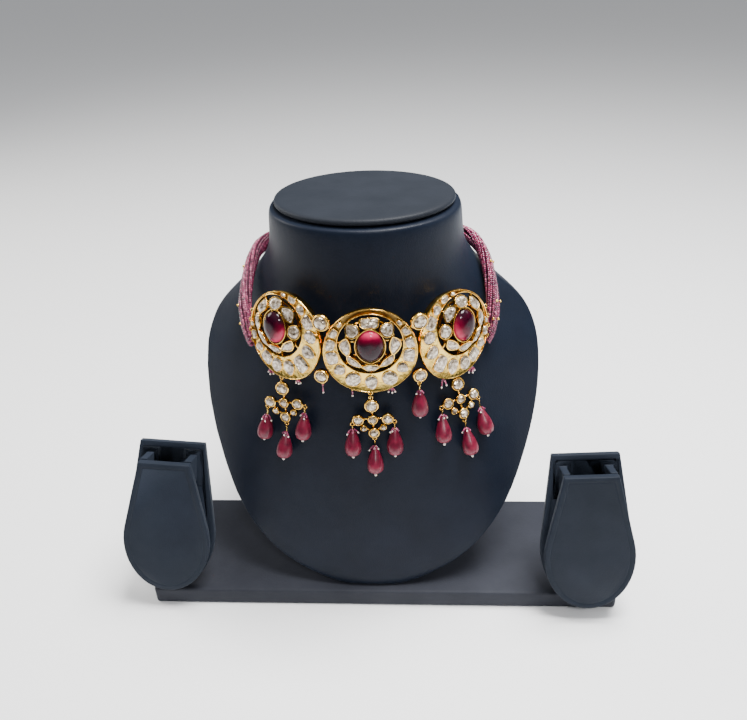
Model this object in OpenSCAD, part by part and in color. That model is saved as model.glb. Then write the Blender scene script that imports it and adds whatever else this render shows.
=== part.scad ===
// Choker necklace of three round gold medallions, shown on its neck bust.
// The bust stands on a board that also carries two plain earring stands.
// Units are millimetres, +Z is up and the front faces -Y.
// The origin is under the middle of the whole piece, at the table.

/* [Board] */
// Length of the base board
board_l = 250; // [200:1:320]
// Depth of the base board
board_w = 75; // [70:1:100]
// Thickness of the base board
board_t = 10.2; // [8:0.1:16]
// Radius of the board's upright corners
board_corner = 2.5; // [1:0.1:6]

/* [Bust] */
// Height of the bust above the board
bust_h = 195; // [185:1:205]
// Widest part of the chest
chest_w = 180; // [174:1:190]
// Width of the neck
neck_w = 95; // [92:1:98]
// Depth of the neck from front to back
neck_d = 86; // [83:1:90]
// How far the foot of the chest stands in front of the neck
chest_reach = 22; // [20:1:26]
// Distance of the neck's axis behind the board's front edge
neck_set = 68; // [66:1:72]
// Distance of the neck's axis left of the board's middle
bust_left = 4.8; // [0:0.1:8]
// Thickness of the padded lid on the neck
cap_t = 3.2; // [2.4:0.1:5]
// How far the lid's edge lies inside the neck's edge
cap_inset = 3.1; // [1:0.1:5]
// Gap between the lid and the neck
cap_gap = 0.4; // [0.2:0.1:0.8]

/* [Earring stands] */
// Thickness of an earring stand's plates
ear_t = 4; // [3:0.1:5]
// Height of the back plate
ear_back_h = 82; // [78:1:92]
// Width of the back plate at its top
ear_back_top = 34; // [28:1:38]
// Widest part of the back plate
ear_back_w = 47; // [45:0.5:54]
// Height of the front tongue
ear_tongue_h = 75.5; // [68:0.5:78]
// Width of the tongue at its top
ear_tongue_top = 26.5; // [22:0.5:28]
// Widest part of the tongue
ear_tongue_w = 45.5; // [42:0.5:46]
// How far the tongue's foot lies above the back plate's foot
ear_tongue_rise = 2.4; // [1:0.1:6]
// Width of the pocket between the plates at the tongue's top
ear_pocket = 11; // [9:0.5:13]
// How far the back plate leans back, in degrees
ear_lean = 19.5; // [16:0.5:24]
// How far the left stand leans toward the middle, in degrees
left_ear_roll = 5; // [0:0.5:8]
// How far the right stand leans toward the middle, in degrees
right_ear_roll = 2.5; // [0:0.5:8]
// Distance of the left stand's foot from the board's end
left_ear_inset = 12; // [8:0.5:20]
// Distance of the right stand's foot from the board's end
right_ear_inset = 18; // [8:0.5:24]
// Width of the spacer blocks in the pocket
ear_block_w = 3.6; // [3:0.1:5]
// Height of the spacer blocks
ear_block_h = 14; // [8:0.5:16]
// Gap between the two plates at their foot
ear_gap = 0.3; // [0.2:0.1:0.6]
// How low the right stand's foot reaches on the board's front face
right_ear_drop = 3.4; // [2:0.1:5]

/* [Medallions] */
// Diameter of each medallion
disc_d = 44; // [43:0.5:45]
// Thickness of each medallion's drum
disc_t = 4.6; // [4:0.1:5]
// Diameter of the round opening inside the crescent
open_d = 30.3; // [29.5:0.1:31]
// How far the opening lies off the middle on the centre medallion
center_offset = 4; // [3.5:0.1:4.5]
// How far the opening lies off the middle on the side medallions
side_offset = 5.9; // [5.4:0.1:6]
// Turn of the side openings outward from upright, in degrees
side_turn = 44; // [30:1:60]
// Height of the centre medallion's middle above the table
disc_z = 150.6; // [147:0.1:153]
// How much higher the left medallion hangs
left_rise = 2.9; // [0:0.1:3.5]
// Turn of the whole necklace round the neck, in degrees
neck_turn = 3.8; // [0:0.1:5]
// Angle between neighbouring medallions, in degrees
disc_angle = 37.3; // [36:0.1:39]
// Gap at the edges of neighbouring medallions, halved
disc_gap = 0.75; // [0.72:0.01:1.2]
// Clearance between the centre medallion's back and the chest
disc_clear = 2.8; // [2:0.1:3.5]
// How far the side medallions lean back, in degrees
side_lean = 8; // [6:0.5:10]
// Width of the raised rims along the crescent
rim_w = 0.9; // [0.7:0.05:1.1]
// Height of the raised rims
rim_h = 0.6; // [0.4:0.05:0.8]
// Thickness of the wide front step of the drum's wall
flange_t = 2.1; // [1.8:0.1:2.2]
// How far the back step of the wall is drawn in
wall_step = 1; // [0.9:0.1:1.3]

/* [Flower] */
// Width of the oval ruby
ruby_w = 13.4; // [12.5:0.1:13.8]
// Height of the oval ruby
ruby_l = 15.8; // [15:0.1:16]
// How far the ruby stands out of its setting
ruby_rise = 3.4; // [2.5:0.1:4]
// Thickness of the ruby's gold setting
bezel_t = 0.6; // [0.5:0.05:0.7]
// How far the ruby's setting stands over the rims
bezel_rise = 2.2; // [1.6:0.1:2.8]
// Number of petals
petal_n = 8; // [8:1:8]
// Distance of the petals from the flower's middle
petal_r = 11.3; // [11.2:0.1:11.5]
// Length of a petal's stone along the ring
petal_l = 7.6; // [7:0.1:7.9]
// Width of a petal's stone
petal_w = 3.7; // [3.2:0.1:3.8]
// Wall of a petal's gold cup
petal_wall = 0.5; // [0.4:0.05:0.55]
// Height of a petal's gold cup
petal_cup = 2.4; // [2:0.1:3]
// How far the petals slope outward, in degrees
petal_slope = 26; // [18:1:30]
// Width of the bars that carry the flower
spoke_w = 1.5; // [1.2:0.1:2]
// Thickness of the bars that carry the flower
spoke_t = 1.2; // [1:0.1:1.6]

/* [Stones] */
// Gap between a stone and its setting
stone_gap = 0.06; // [0.04:0.01:0.1]
// Depth of the seats in the crescent
seat_depth = 1.1; // [0.8:0.05:1.4]
// How far the crescent's stones stand out of their seats
stone_rise = 0.7; // [0.4:0.05:1]
// Share of the crescent's face that a stone fills
stone_fill = 0.86; // [0.8:0.01:0.88]
// Wall of the round settings
collet_wall = 0.5; // [0.4:0.05:0.6]
// Height of the round settings
collet_t = 2.4; // [2:0.1:3]

/* [Links] */
// Diameter of the upper link settings
upper_link_d = 8.4; // [8:0.1:8.6]
// Diameter of the lower link settings
lower_link_d = 7.2; // [6.8:0.1:7.4]
// Height of the upper links over the medallions' middle
upper_link_up = 15; // [14.8:0.1:15.4]
// Depth of the lower links under the medallions' middle
lower_link_down = 13.3; // [13.2:0.1:13.8]

/* [Pendants] */
// Diameter of the single stone's setting
single_d = 7.2; // [6.8:0.1:7.4]
// Diameter of the settings at the ends of the row
row_end_d = 6; // [5.6:0.1:6.2]
// Diameter of the setting in the middle of the row
row_mid_d = 5.3; // [5:0.1:5.6]
// Diameter of the lowest setting
low_d = 5.8; // [5.4:0.1:6]
// Diameter of the two small settings
small_d = 3.7; // [3.5:0.1:3.8]
// Spacing of the row's settings
row_pitch = 7.3; // [7.1:0.1:7.6]
// Height of the single stone over the row
single_up = 8.1; // [7.6:0.1:8.4]
// Depth of the lowest stone under the row
low_down = 7.9; // [7.4:0.1:8.2]
// Width of the bars that join the settings
bar_w = 1; // [0.8:0.1:1.2]
// Thickness of the bars that join the settings
bar_t = 0.9; // [0.7:0.1:1.2]
// Diameter of the ring over the centre pendant, to the wire's middle
jump_d = 2.7; // [2.5:0.1:3]
// Radius of the small gold rings, to the wire's middle
ring_r = 0.95; // [0.85:0.05:1.05]
// Thickness of the ring wire
ring_wire = 0.5; // [0.45:0.05:0.55]

/* [Ruby drops] */
// Widest part of a ruby drop
drop_d = 8.2; // [7.6:0.1:8.4]
// Length of a ruby drop
drop_h = 13.6; // [12.5:0.1:14]
// Bore through a drop
drop_bore = 0.8; // [0.7:0.05:1]
// Thickness of the pin through a drop
pin_d = 0.45; // [0.4:0.05:0.5]
// Diameter of the ball at a pin's end
pin_ball = 1.3; // [1:0.1:1.6]

/* [Strands] */
// Thickness of a bundle of strands where it lies on the neck
strand_t = 5.2; // [4.6:0.1:5.6]
// Width of a bundle of strands
strand_w = 9; // [8:0.1:9.4]
// Gap between the strands and the neck
strand_clear = 0.4; // [0.3:0.05:0.6]
// Height of the strands at the back of the neck
strand_back_z = 175; // [173:0.5:180]
// Height of the strands at the sides of the neck
strand_side_z = 179; // [177:0.5:182]
// Length of the clasp
clasp_l = 7; // [6:0.1:9]
// Diameter of the clasp
clasp_d = 4.4; // [4:0.1:4.8]
// Length of the cap at the end of each bundle
cap_l = 3.6; // [3:0.1:5]

/* [Hidden] */

// Colours, as the photograph shows them
black_hide = "#23262e";
gold = "#d8ab52";
polki = "#d9d4c8";
ruby = "#8d1638";
garnet = "#6f2a4b";

eps = 0.02;
round_fn = 48;
wire_fn = 20;

// The neck's depth and the chest's reach give the depth of the foot.
foot_d = neck_d / 2 + chest_reach;
back_reach = neck_set + neck_d / 2 + strand_clear + strand_t;
// Lean of the tongues, so that the pockets open upward
pocket_angle = atan(ear_pocket / ear_tongue_h);
tongue_lean = ear_lean - pocket_angle;
ear_front = ear_gap + ear_t;
ear_tip = ear_gap + right_ear_drop * tan(ear_lean) + ear_front + ear_t * cos(tongue_lean);
mid_y = (back_reach - ear_tip) / 2;
board_front = -mid_y;
// Height of a plate's round foot to its widest line, as a share of half its width
foot_stretch = 1.3;
function foot_reach(roll) = ear_back_w / 2 * norm([cos(roll), foot_stretch * sin(roll)]);
board_x = (foot_reach(left_ear_roll) - left_ear_inset - foot_reach(right_ear_roll) + right_ear_inset) / 2;
axis_x = board_x - bust_left;
axis_y = neck_set - mid_y;

// Bust sections from the foot to the rim. Columns: height as a share of
// bust_h, half width as a share of half chest_w plus a share of half neck_w,
// front as a share of chest_reach, widest line as a share of foot_d, back as
// a share of half neck_d (or of foot_d where it is in front of the axis),
// and the power that rounds the front.
bust_rows = [
    [0.000, 0.146, 0.000, 0.910, 0.960, -0.520, 1.60],
    [0.009, 0.208, 0.000, 0.955, 0.954, -0.490, 1.50],
    [0.030, 0.337, 0.000, 0.973, 0.930, -0.460, 1.40],
    [0.070, 0.500, 0.000, 0.923, 0.892, -0.430, 1.30],
    [0.122, 0.640, 0.000, 0.855, 0.823, -0.354, 1.22],
    [0.189, 0.764, 0.000, 0.764, 0.708, -0.262, 1.15],
    [0.255, 0.843, 0.000, 0.673, 0.592, -0.170, 1.10],
    [0.332, 0.908, 0.000, 0.573, 0.451, -0.062, 1.06],
    [0.409, 0.962, 0.000, 0.473, 0.308, 0.105, 1.02],
    [0.491, 0.995, 0.000, 0.364, 0.160, 0.314, 0.98],
    [0.563, 1.000, 0.000, 0.268, 0.046, 0.500, 0.95],
    [0.619, 0.987, 0.000, 0.195, -0.038, 0.663, 0.93],
    [0.660, 0.955, 0.000, 0.145, -0.100, 0.767, 0.92],
    [0.699, 0.910, 0.000, 0.100, -0.126, 0.849, 0.93],
    [0.732, 0.636, 0.397, 0.068, -0.123, 0.919, 1.00],
    [0.768, 0.400, 0.693, 0.041, -0.092, 0.965, 1.15],
    [0.799, 0.250, 0.837, 0.023, -0.057, 0.988, 1.30],
    [0.835, 0.120, 0.945, 0.009, -0.028, 1.000, 1.50],
    [0.876, 0.030, 1.000, 0.000, -0.009, 1.000, 1.75],
    [0.912, 0.000, 1.013, 0.000, 0.000, 1.000, 1.90],
    [0.980, 0.000, 1.000, 0.000, 0.000, 1.000, 2.00],
    [0.995, 0.000, 0.983, -0.027, 0.000, 0.986, 2.00],
    [1.000, 0.000, 0.947, -0.086, 0.000, 0.956, 2.00]];
back_power = 2.2;
bust_sides = 56;

function column(i) = [for (r = bust_rows) [r[0], r[i]]];
c_chest = column(1);
c_neck = column(2);
c_front = column(3);
c_wide = column(4);
c_back = column(5);
c_power = column(6);
function share_up(z) = (z - board_t) / bust_h;
function half_w(z) = chest_w / 2 * lookup(share_up(z), c_chest)
    + neck_w / 2 * lookup(share_up(z), c_neck);
function front_y(z) = -neck_d / 2 - chest_reach * lookup(share_up(z), c_front);
function wide_y(z) = -foot_d * lookup(share_up(z), c_wide);
function back_y(z) = let (b = lookup(share_up(z), c_back)) b * (b < 0 ? foot_d : neck_d / 2);
function power(z) = lookup(share_up(z), c_power);

// Front surface of the bust, behind the point x off its axis at height z
function chest_y(x, z) = let (t = min(abs(x) / half_w(z), 1))
    axis_y + wide_y(z) - (wide_y(z) - front_y(z)) * pow(1 - t * t, 1 / power(z));
// Directions in which the chest faces there, as a turn and a tilt
slope_step = 0.5;
function chest_dx(x, z) = (chest_y(x + slope_step, z) - chest_y(x - slope_step, z)) / (2 * slope_step);
function chest_dz(x, z) = (chest_y(x, z + slope_step) - chest_y(x, z - slope_step)) / (2 * slope_step);
function chest_turn(x, z) = atan(chest_dx(x, z));
function chest_tilt(x, z) = atan(chest_dz(x, z) * cos(chest_turn(x, z)));

// One closed ring of the bust at height z
function bust_ring(z) = [for (i = [0:bust_sides - 1])
    let (a = 360 * i / bust_sides, s = sin(a), c = cos(a), w = wide_y(z))
    [axis_x + half_w(z) * s,
        axis_y + w - (c >= 0 ? (w - front_y(z)) * pow(c, 2 / power(z))
            : (w - back_y(z)) * pow(-c, 2 / back_power)), z]];

// A closed skin over a stack of rings with the same number of points
module skin(rings) {
    n = len(rings[0]);
    m = len(rings);
    polyhedron(
        points = [for (r = rings) each r],
        faces = concat(
            [[for (i = [0:n - 1]) i]],
            [for (k = [0:m - 2], i = [0:n - 1])
                [k * n + i, (k + 1) * n + i, (k + 1) * n + (i + 1) % n, k * n + (i + 1) % n]],
            [[for (i = [n - 1:-1:0]) (m - 1) * n + i]]),
        convexity = 6);
}

// Places children on a plane that faces the front, turned and tilted back
module placed(c, turn, tilt) {
    translate(c) rotate([0, 0, turn]) rotate([90 - tilt, 0, 0]) children();
}
// The same for one point
function at(c, turn, tilt, p) =
    let (y = p.y * sin(tilt) - p.z * cos(tilt), z = p.y * cos(tilt) + p.z * sin(tilt))
    [c.x + p.x * cos(turn) - y * sin(turn), c.y + p.x * sin(turn) + y * cos(turn), c.z + z];

function oval(w, l, n) = [for (i = [0:n - 1]) [w / 2 * cos(360 * i / n), l / 2 * sin(360 * i / n)]];
module oval_block(w, l, h, n) {
    linear_extrude(height = h) polygon(oval(w, l, n));
}
module ring(r, wire) {
    rotate_extrude($fn = round_fn) translate([r, 0]) circle(d = wire, $fn = wire_fn);
}

// Board and bust

module base_board() {
    color(black_hide) translate([board_x - board_l / 2, board_front, 0]) {
        translate([board_corner, 0, 0]) cube([board_l - 2 * board_corner, board_w, board_t]);
        translate([0, board_corner, 0]) cube([board_l, board_w - 2 * board_corner, board_t]);
        for (x = [board_corner, board_l - board_corner], y = [board_corner, board_w - board_corner])
            translate([x, y, 0]) cylinder(r = board_corner, h = board_t, $fn = round_fn);
    }
}

module bust() {
    color(black_hide) skin([for (r = bust_rows) bust_ring(board_t + bust_h * r[0])]);
}

// The lid is a flat oval cushion. Columns: height as a share of cap_t and
// how far the edge is drawn in, as a share of cap_t.
cap_rows = [[0, 0.35], [0.2, 0.05], [0.5, 0], [0.8, 0.12], [0.95, 0.45], [1, 0.95]];
cap_sides = 48;
module bust_cap() {
    cap_z = board_t + bust_h + cap_gap;
    color(black_hide) skin([for (r = cap_rows)
        let (d = cap_inset + r[1] * cap_t)
        [for (i = [0:cap_sides - 1]) let (a = -360 * i / cap_sides)
            [axis_x + (neck_w / 2 - d) * cos(a), axis_y + (neck_d / 2 - d) * sin(a),
                cap_z + r[0] * cap_t]]]);
}

// Earring stands

// Outline of a plate: an egg-shaped foot with straight sides up to a flat top
arc_n = 30;
function plate_outline(w, top, h) =
    let (r = w / 2, up = h / foot_stretch - r, d = norm([top / 2, up]),
        a = atan2(up, top / 2) - acos(r / d))
    concat([for (i = [0:arc_n]) let (t = 180 - a + (180 + 2 * a) * i / arc_n)
            [r * cos(t), foot_stretch * (r + r * sin(t))]],
        [[top / 2, h], [-top / 2, h]]);
module plate(w, top, h) {
    rotate([90, 0, 0]) linear_extrude(height = ear_t) polygon(plate_outline(w, top, h));
}
// Foot of each back plate: its rear face meets the board's top or its front
module ear_place(side) {
    foot_x = side * board_l / 2 - side * (side < 0 ? left_ear_inset : right_ear_inset);
    foot_y = side < 0 ? board_front + ear_front
        : board_front - ear_gap - right_ear_drop * tan(ear_lean);
    foot_z = board_t - (side < 0 ? 0 : right_ear_drop);
    pivot = ear_back_w / 2 * foot_stretch;
    translate([board_x + foot_x, foot_y, foot_z + pivot + 0.1])
        rotate([0, -side * (side < 0 ? left_ear_roll : right_ear_roll), 0])
            translate([0, 0, -pivot]) children();
}
// The tongue's rear face as seen from the back plate: its distance at a height
tongue_h0 = ear_tongue_rise * cos(ear_lean) - ear_front * sin(ear_lean);
tongue_d0 = ear_front * cos(ear_lean) + ear_tongue_rise * sin(ear_lean);
function tongue_at(h) = tongue_d0 + (h - tongue_h0) * tan(pocket_angle);
// Wedge-shaped spacer blocks stand on the back plate and reach the tongue
block_top = ear_tongue_rise + ear_tongue_h - 2;
block_low = block_top - ear_block_h;
module ear_back(side) {
    color(black_hide) ear_place(side) rotate([-ear_lean, 0, 0]) {
        plate(ear_back_w, ear_back_top, ear_back_h);
        for (s = [-1, 1])
            translate([s * (ear_tongue_top - ear_block_w) / 2 + ear_block_w / 2, 0, 0])
                rotate([0, -90, 0]) linear_extrude(height = ear_block_w)
                    polygon([for (q = [[block_low, 0], [block_top, 0], [block_top, 1], [block_low, 1]])
                        [q.x, q.y == 0 ? -ear_t / 2 : ear_gap - tongue_at(q.x)]]);
    }
}
module ear_tongue(side) {
    color(black_hide) ear_place(side) translate([0, -ear_front, ear_tongue_rise])
        rotate([-tongue_lean, 0, 0]) plate(ear_tongue_w, ear_tongue_top, ear_tongue_h);
}

// Medallions

// Centre of each face and its turn: centre, left and right
disc_r = disc_d / 2;
low_z = disc_z - disc_r;
disc_out = axis_y - chest_y(0, low_z) + disc_clear + disc_t;
center_at = [axis_x + disc_out * sin(neck_turn), axis_y - disc_out * cos(neck_turn), disc_z];
function step_from(c, turn, s, rise) = let (d = disc_r + disc_gap, u = turn + s * disc_angle)
    [c.x + s * d * (cos(turn) + cos(u)), c.y + s * d * (sin(turn) + sin(u)), c.z + rise];
left_at = step_from(center_at, neck_turn, -1, left_rise);
right_at = step_from(center_at, neck_turn, 1, 0);
disc_at = [center_at, left_at, right_at];
disc_turn = [neck_turn, neck_turn - disc_angle, neck_turn + disc_angle];
disc_lean = [0, side_lean, side_lean];
// Where each flower lies on its medallion
flower_at = [[0, center_offset],
    [-side_offset * sin(side_turn), side_offset * cos(side_turn)],
    [side_offset * sin(side_turn), side_offset * cos(side_turn)]];
// Turn of each crescent's widest place from straight down
crescent_turn = [0, side_turn, -side_turn];
module on_disc(k) {
    placed(disc_at[k], disc_turn[k], disc_lean[k]) translate([0, 0, -disc_t]) children();
}

// The crescent's stones. Columns: angle from the widest place and length
// along the crescent as a share of its greatest width.
crescent_set = [[0, 0.60], [31, 0.60], [59, 0.52], [82, 0.48], [103, 0.39], [122, 0.31], [137, 0.21]];
crescent_n = len(crescent_set);
function offset_of(k) = norm(flower_at[k]);
// Inner edge of the crescent at an angle from its widest place
function inner_r(k, a) = let (o = offset_of(k), e = -o * cos(a))
    e + sqrt(e * e - o * o + open_d * open_d / 4);
function face_w(k, a) = disc_r - inner_r(k, a) - 2 * rim_w;
greatest_w = disc_r - open_d / 2 + center_offset;
least_stone = 1.1;
// Places each stone of the crescent, with its size in $w and $l
module each_crescent_stone(k) {
    for (i = [0:crescent_n - 1], s = i == 0 ? [1] : [-1, 1]) {
        a = crescent_set[i][0];
        $w = min(stone_fill * face_w(k, a), greatest_w * 0.72);
        $l = crescent_set[i][1] * greatest_w;
        if ($w > least_stone)
            rotate([0, 0, crescent_turn[k] + s * a - 90])
                translate([(disc_r + inner_r(k, a)) / 2, 0, 0]) children();
    }
}
// A cut stone: a flat back, a girdle, sloped sides and a flat table
stone_sides = 10;
function stone_ring(w, l, z) = [for (i = [0:stone_sides - 1]) let (a = -360 * (i + 0.5) / stone_sides)
    [w / 2 * cos(a), l / 2 * sin(a), z]];
module cut_stone(w, l, h, girdle) {
    skin([stone_ring(w, l, 0), stone_ring(w, l, girdle),
        stone_ring(w * 0.8, l * 0.8, girdle + (h - girdle) * 0.65), stone_ring(w * 0.5, l * 0.5, h)]);
}

face_z = disc_t - rim_h;
flange_z = disc_t - flange_t / 2;
// Distance of a ring's middle from the edge that it is soldered to
ring_gap = ring_r - ring_wire / 2 + 0.1;
// The pendant's loop hangs from the front step of the centre and the left
// medallion and from the back step of the right one, at an angle from
// straight down.
loop_angle = [-2, -6, 3];
function loop_on(k) = let (r = k < 2 ? disc_r + ring_gap : disc_r - wall_step + ring_gap)
    [r * sin(loop_angle[k]), -r * cos(loop_angle[k]), k < 2 ? flange_z : ring_wire / 2 + 0.2];
flower_top = disc_t + bezel_rise;
ruby_floor = disc_t - 0.8;
petal_z = disc_t + 0.9;
module petal_place() {
    for (i = [0:petal_n - 1]) rotate([0, 0, 360 / petal_n * i])
        translate([petal_r, 0, petal_z]) rotate([0, petal_slope, 0]) children();
}
// Everything of one medallion that is soldered gold
eyelet_n = 4;
module medallion(k) {
    outer_side = k == 1 ? 180 : 0;
    color(gold) on_disc(k) {
        difference() {
            union() {
                cylinder(r = disc_r - wall_step, h = disc_t, $fn = 96);
                translate([0, 0, disc_t - flange_t]) cylinder(d = disc_d, h = flange_t, $fn = 96);
            }
            translate([flower_at[k].x, flower_at[k].y, -1]) cylinder(d = open_d, h = disc_t + 2, $fn = 96);
            translate([0, 0, face_z]) difference() {
                cylinder(d = disc_d - 2 * rim_w, h = rim_h + 1, $fn = 96);
                translate([flower_at[k].x, flower_at[k].y, -1])
                    cylinder(d = open_d + 2 * rim_w, h = rim_h + 3, $fn = 96);
            }
            translate([0, 0, face_z - seat_depth]) each_crescent_stone(k)
                oval_block($w, $l, seat_depth + 1, stone_sides * 2);
        }
        translate([flower_at[k].x, flower_at[k].y, 0]) {
            for (i = [0:petal_n - 1]) rotate([0, 0, 360 / petal_n * i])
                translate([ruby_w / 2 - 1, -spoke_w / 2, 0.4])
                    cube([open_d / 2 - ruby_w / 2 + 1.3, spoke_w, spoke_t]);
            difference() {
                cylinder(r = petal_r + 0.6, h = petal_z - 0.8, $fn = round_fn);
                translate([0, 0, -1]) cylinder(r = petal_r - 0.6, h = petal_z + 2, $fn = round_fn);
                translate([0, 0, -1]) cylinder(r = petal_r + 1, h = 1.4, $fn = round_fn);
            }
            difference() {
                translate([0, 0, 0.4])
                    oval_block(ruby_w + 2 * bezel_t, ruby_l + 2 * bezel_t, flower_top - 0.4, 40);
                translate([0, 0, ruby_floor]) oval_block(ruby_w, ruby_l, flower_top, 40);
            }
            petal_place() difference() {
                translate([0, 0, -petal_cup + 0.8])
                    oval_block(petal_w + 2 * petal_wall, petal_l + 2 * petal_wall, petal_cup, 24);
                oval_block(petal_w, petal_l, 2, 24);
            }
        }
        // Loop under the medallion that carries the pendant
        translate(loop_on(k)) ring(ring_r, ring_wire);
        // Eyelets for the strands on the outer side
        if (k > 0) for (i = [0:eyelet_n - 1])
            rotate([0, 0, outer_side + (k == 1 ? -1 : 1) * (-20 + 13 * i)])
                translate([disc_r + ring_gap, 0, flange_z]) ring(ring_r, ring_wire);
    }
}
// The ruby: an oval with stepped sides and a table
module ruby_stone(k) {
    w = ruby_w - 2 * stone_gap;
    l = ruby_l - 2 * stone_gap;
    low = ruby_floor + stone_gap;
    edge = flower_top - 0.2;
    // Columns: height over the edge as a share of ruby_rise, and the width
    rows = [[0, 1], [0.35, 0.93], [0.7, 0.76], [0.92, 0.55], [1, 0.4]];
    n = 20;
    color(ruby) on_disc(k) translate([flower_at[k].x, flower_at[k].y, 0])
        skin(concat([[for (i = [0:n - 1]) let (a = -360 * i / n) [w / 2 * cos(a), l / 2 * sin(a), low]]],
            [for (r = rows) [for (i = [0:n - 1]) let (a = -360 * i / n)
                [w / 2 * r[1] * cos(a), l / 2 * r[1] * sin(a), edge + r[0] * ruby_rise]]]));
}
module crescent_stones(k) {
    color(polki) on_disc(k) translate([0, 0, face_z - seat_depth + stone_gap]) each_crescent_stone(k)
        cut_stone($w - 2 * stone_gap, $l - 2 * stone_gap, seat_depth + stone_rise, seat_depth);
}
module petal_stones(k) {
    color(polki) on_disc(k) translate([flower_at[k].x, flower_at[k].y, 0]) petal_place()
        translate([0, 0, stone_gap])
            cut_stone(petal_w - 2 * stone_gap, petal_l - 2 * stone_gap, 1.5, 0.8);
}

// Round settings that link the medallions

module collet(d, t) {
    difference() {
        cylinder(d = d, h = t, $fn = round_fn);
        translate([0, 0, t * 0.4]) cylinder(d = d - 2 * collet_wall, h = t, $fn = round_fn);
    }
}
module collet_stone(d, t) {
    w = d - 2 * collet_wall - 2 * stone_gap;
    translate([0, 0, t * 0.4 + stone_gap]) cut_stone(w, w, t * 0.6 + 0.8, t * 0.55);
}
// The links, each with its side, its height over the medallions' middle,
// its shift along the necklace and its diameter
upper_left = [-1, upper_link_up, 1.1, upper_link_d];
lower_left = [-1, -lower_link_down, -0.6, lower_link_d];
upper_right = [1, upper_link_up, 0, upper_link_d];
lower_right = [1, -lower_link_down, 0, lower_link_d];
function link_at(l) = let (c = center_at, o = l[0] < 0 ? left_at : right_at)
    [c.x + l[0] * (disc_r + disc_gap) * cos(neck_turn), c.y + l[0] * (disc_r + disc_gap) * sin(neck_turn),
        (c.z + o.z) / 2 + l[1]];
link_t = 3;
ear_d = 1.1;
ear_h = 1;
module on_link(l) {
    placed(link_at(l), neck_turn + l[0] * disc_angle / 2, 0)
        translate([l[2], 0, -flange_t]) children();
}
// The upper links have a small ear toward either medallion
module link(l) {
    reach = atan2(l[1], disc_r + disc_gap);
    color(gold) on_link(l) {
        collet(l[3], link_t);
        if (l[1] > 0) for (m = [0, 1]) mirror([m, 0, 0]) rotate([0, 0, -reach])
            translate([(l[3] - ear_d) / 2 + 0.35, 0, link_t / 2 - ear_h / 2])
                cylinder(d = ear_d, h = ear_h, $fn = 24);
        if (l == lower_right)
            translate([0, -l[3] / 2 - ring_gap, link_t / 2]) ring(ring_r, ring_wire);
    }
}
module link_stone(l) {
    color(polki) on_link(l) collet_stone(l[3], link_t);
}

// Pendants

small_x = 0.66 * row_pitch;
small_y = -0.62 * low_down;
// Settings of a pendant: place and diameter
settings = [[0, single_up, single_d], [-row_pitch, 0, row_end_d], [0, 0, row_mid_d],
    [row_pitch, 0, row_end_d], [0, -low_down, low_d], [-small_x, small_y, small_d],
    [small_x, small_y, small_d]];
// Turn, least tilt and spin of each pendant as it hangs: centre, left and right
hang_turn = [1.6, -15, 27];
hang_least = [-1, 5, 14];
hang_spin = [2.5, 3, 5];
// Fall of a pendant's top loop under the medallion's loop
wire_gap = 0.12;
linked = 2 * ring_r - ring_wire - wire_gap;
function top_fall(k) = k == 0 ? jump_d : linked;
function loop_top(k) = let (p = loop_on(k)) at(disc_at[k], disc_turn[k], disc_lean[k],
    [p.x, p.y, p.z - disc_t]);
row_under = ring_gap + single_d / 2 + single_up;
// A pendant tilts until the backs of its settings clear the chest
hang_clear = 0.3;
function setting_tilt(k, p) = let (a = hang_spin[k], v = p.y - row_under,
        u = p.x * cos(a) - v * sin(a), fall = -p.x * sin(a) - v * cos(a) + top_fall(k),
        c = loop_top(k), x = c.x + u * cos(hang_turn[k]) - axis_x, z = c.z - fall,
        g = (chest_y(x, z) - c.y - u * sin(hang_turn[k])) * cos(chest_turn(x, z) - hang_turn[k])
            * cos(chest_tilt(x, z)))
    asin((collet_t / 2 + p.z / 2 * abs(sin(chest_turn(x, z) - hang_turn[k])) + hang_clear - g) / fall);
function hang_tilt(k) = max([hang_least[k], for (p = settings) setting_tilt(k, p)]);
// The pendant's own plane: its row lies at the origin and its rings at z = 0
module in_pendant(k) {
    placed(loop_top(k), hang_turn[k], hang_tilt(k)) translate([0, -top_fall(k), 0])
        rotate([0, 0, hang_spin[k]]) translate([0, -row_under, 0]) children();
}
// The same for a point of that plane
function pendant_point(k, p) = let (s = hang_spin[k], y = p.y - row_under)
    at(loop_top(k), hang_turn[k], hang_tilt(k),
        [p.x * cos(s) - y * sin(s), p.x * sin(s) + y * cos(s) - top_fall(k), p.z]);
// Bars join these pairs of settings
bars = [[0, 2], [1, 2], [2, 3], [2, 4], [1, 5], [5, 4], [3, 6], [6, 4]];
// Each drop's ring: angle under the level at the row's ends
ring_drop = [[40, 35], [55, 20], [15, 50]];
function ring_at(k, s) = s == 0 ? [0, -low_down - low_d / 2 - ring_gap]
    : let (a = ring_drop[k][s < 0 ? 0 : 1], r = row_end_d / 2 + ring_gap)
    [s * (row_pitch + r * cos(a)), -r * sin(a)];
module pendant(k) {
    color(gold) in_pendant(k) {
        for (p = settings) translate([p.x, p.y, -collet_t / 2]) collet(p.z, collet_t);
        for (b = bars) {
            p = settings[b[0]];
            q = settings[b[1]];
            a = atan2(q.y - p.y, q.x - p.x);
            gap = norm([q.x - p.x, q.y - p.y]) - p.z / 2 - q.z / 2;
            translate([p.x, p.y, 0.2 - collet_t / 2]) rotate([0, 0, a])
                translate([p.z / 2 - 0.3, -bar_w / 2, 0]) cube([gap + 0.6, bar_w, bar_t]);
        }
        for (s = [-1, 0, 1]) let (r = ring_at(k, s)) translate([r.x, r.y, 0]) ring(ring_r, ring_wire);
        translate([0, row_under, 0]) rotate([0, k == 0 ? 0 : 90, 0]) ring(ring_r, ring_wire);
    }
}
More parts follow.
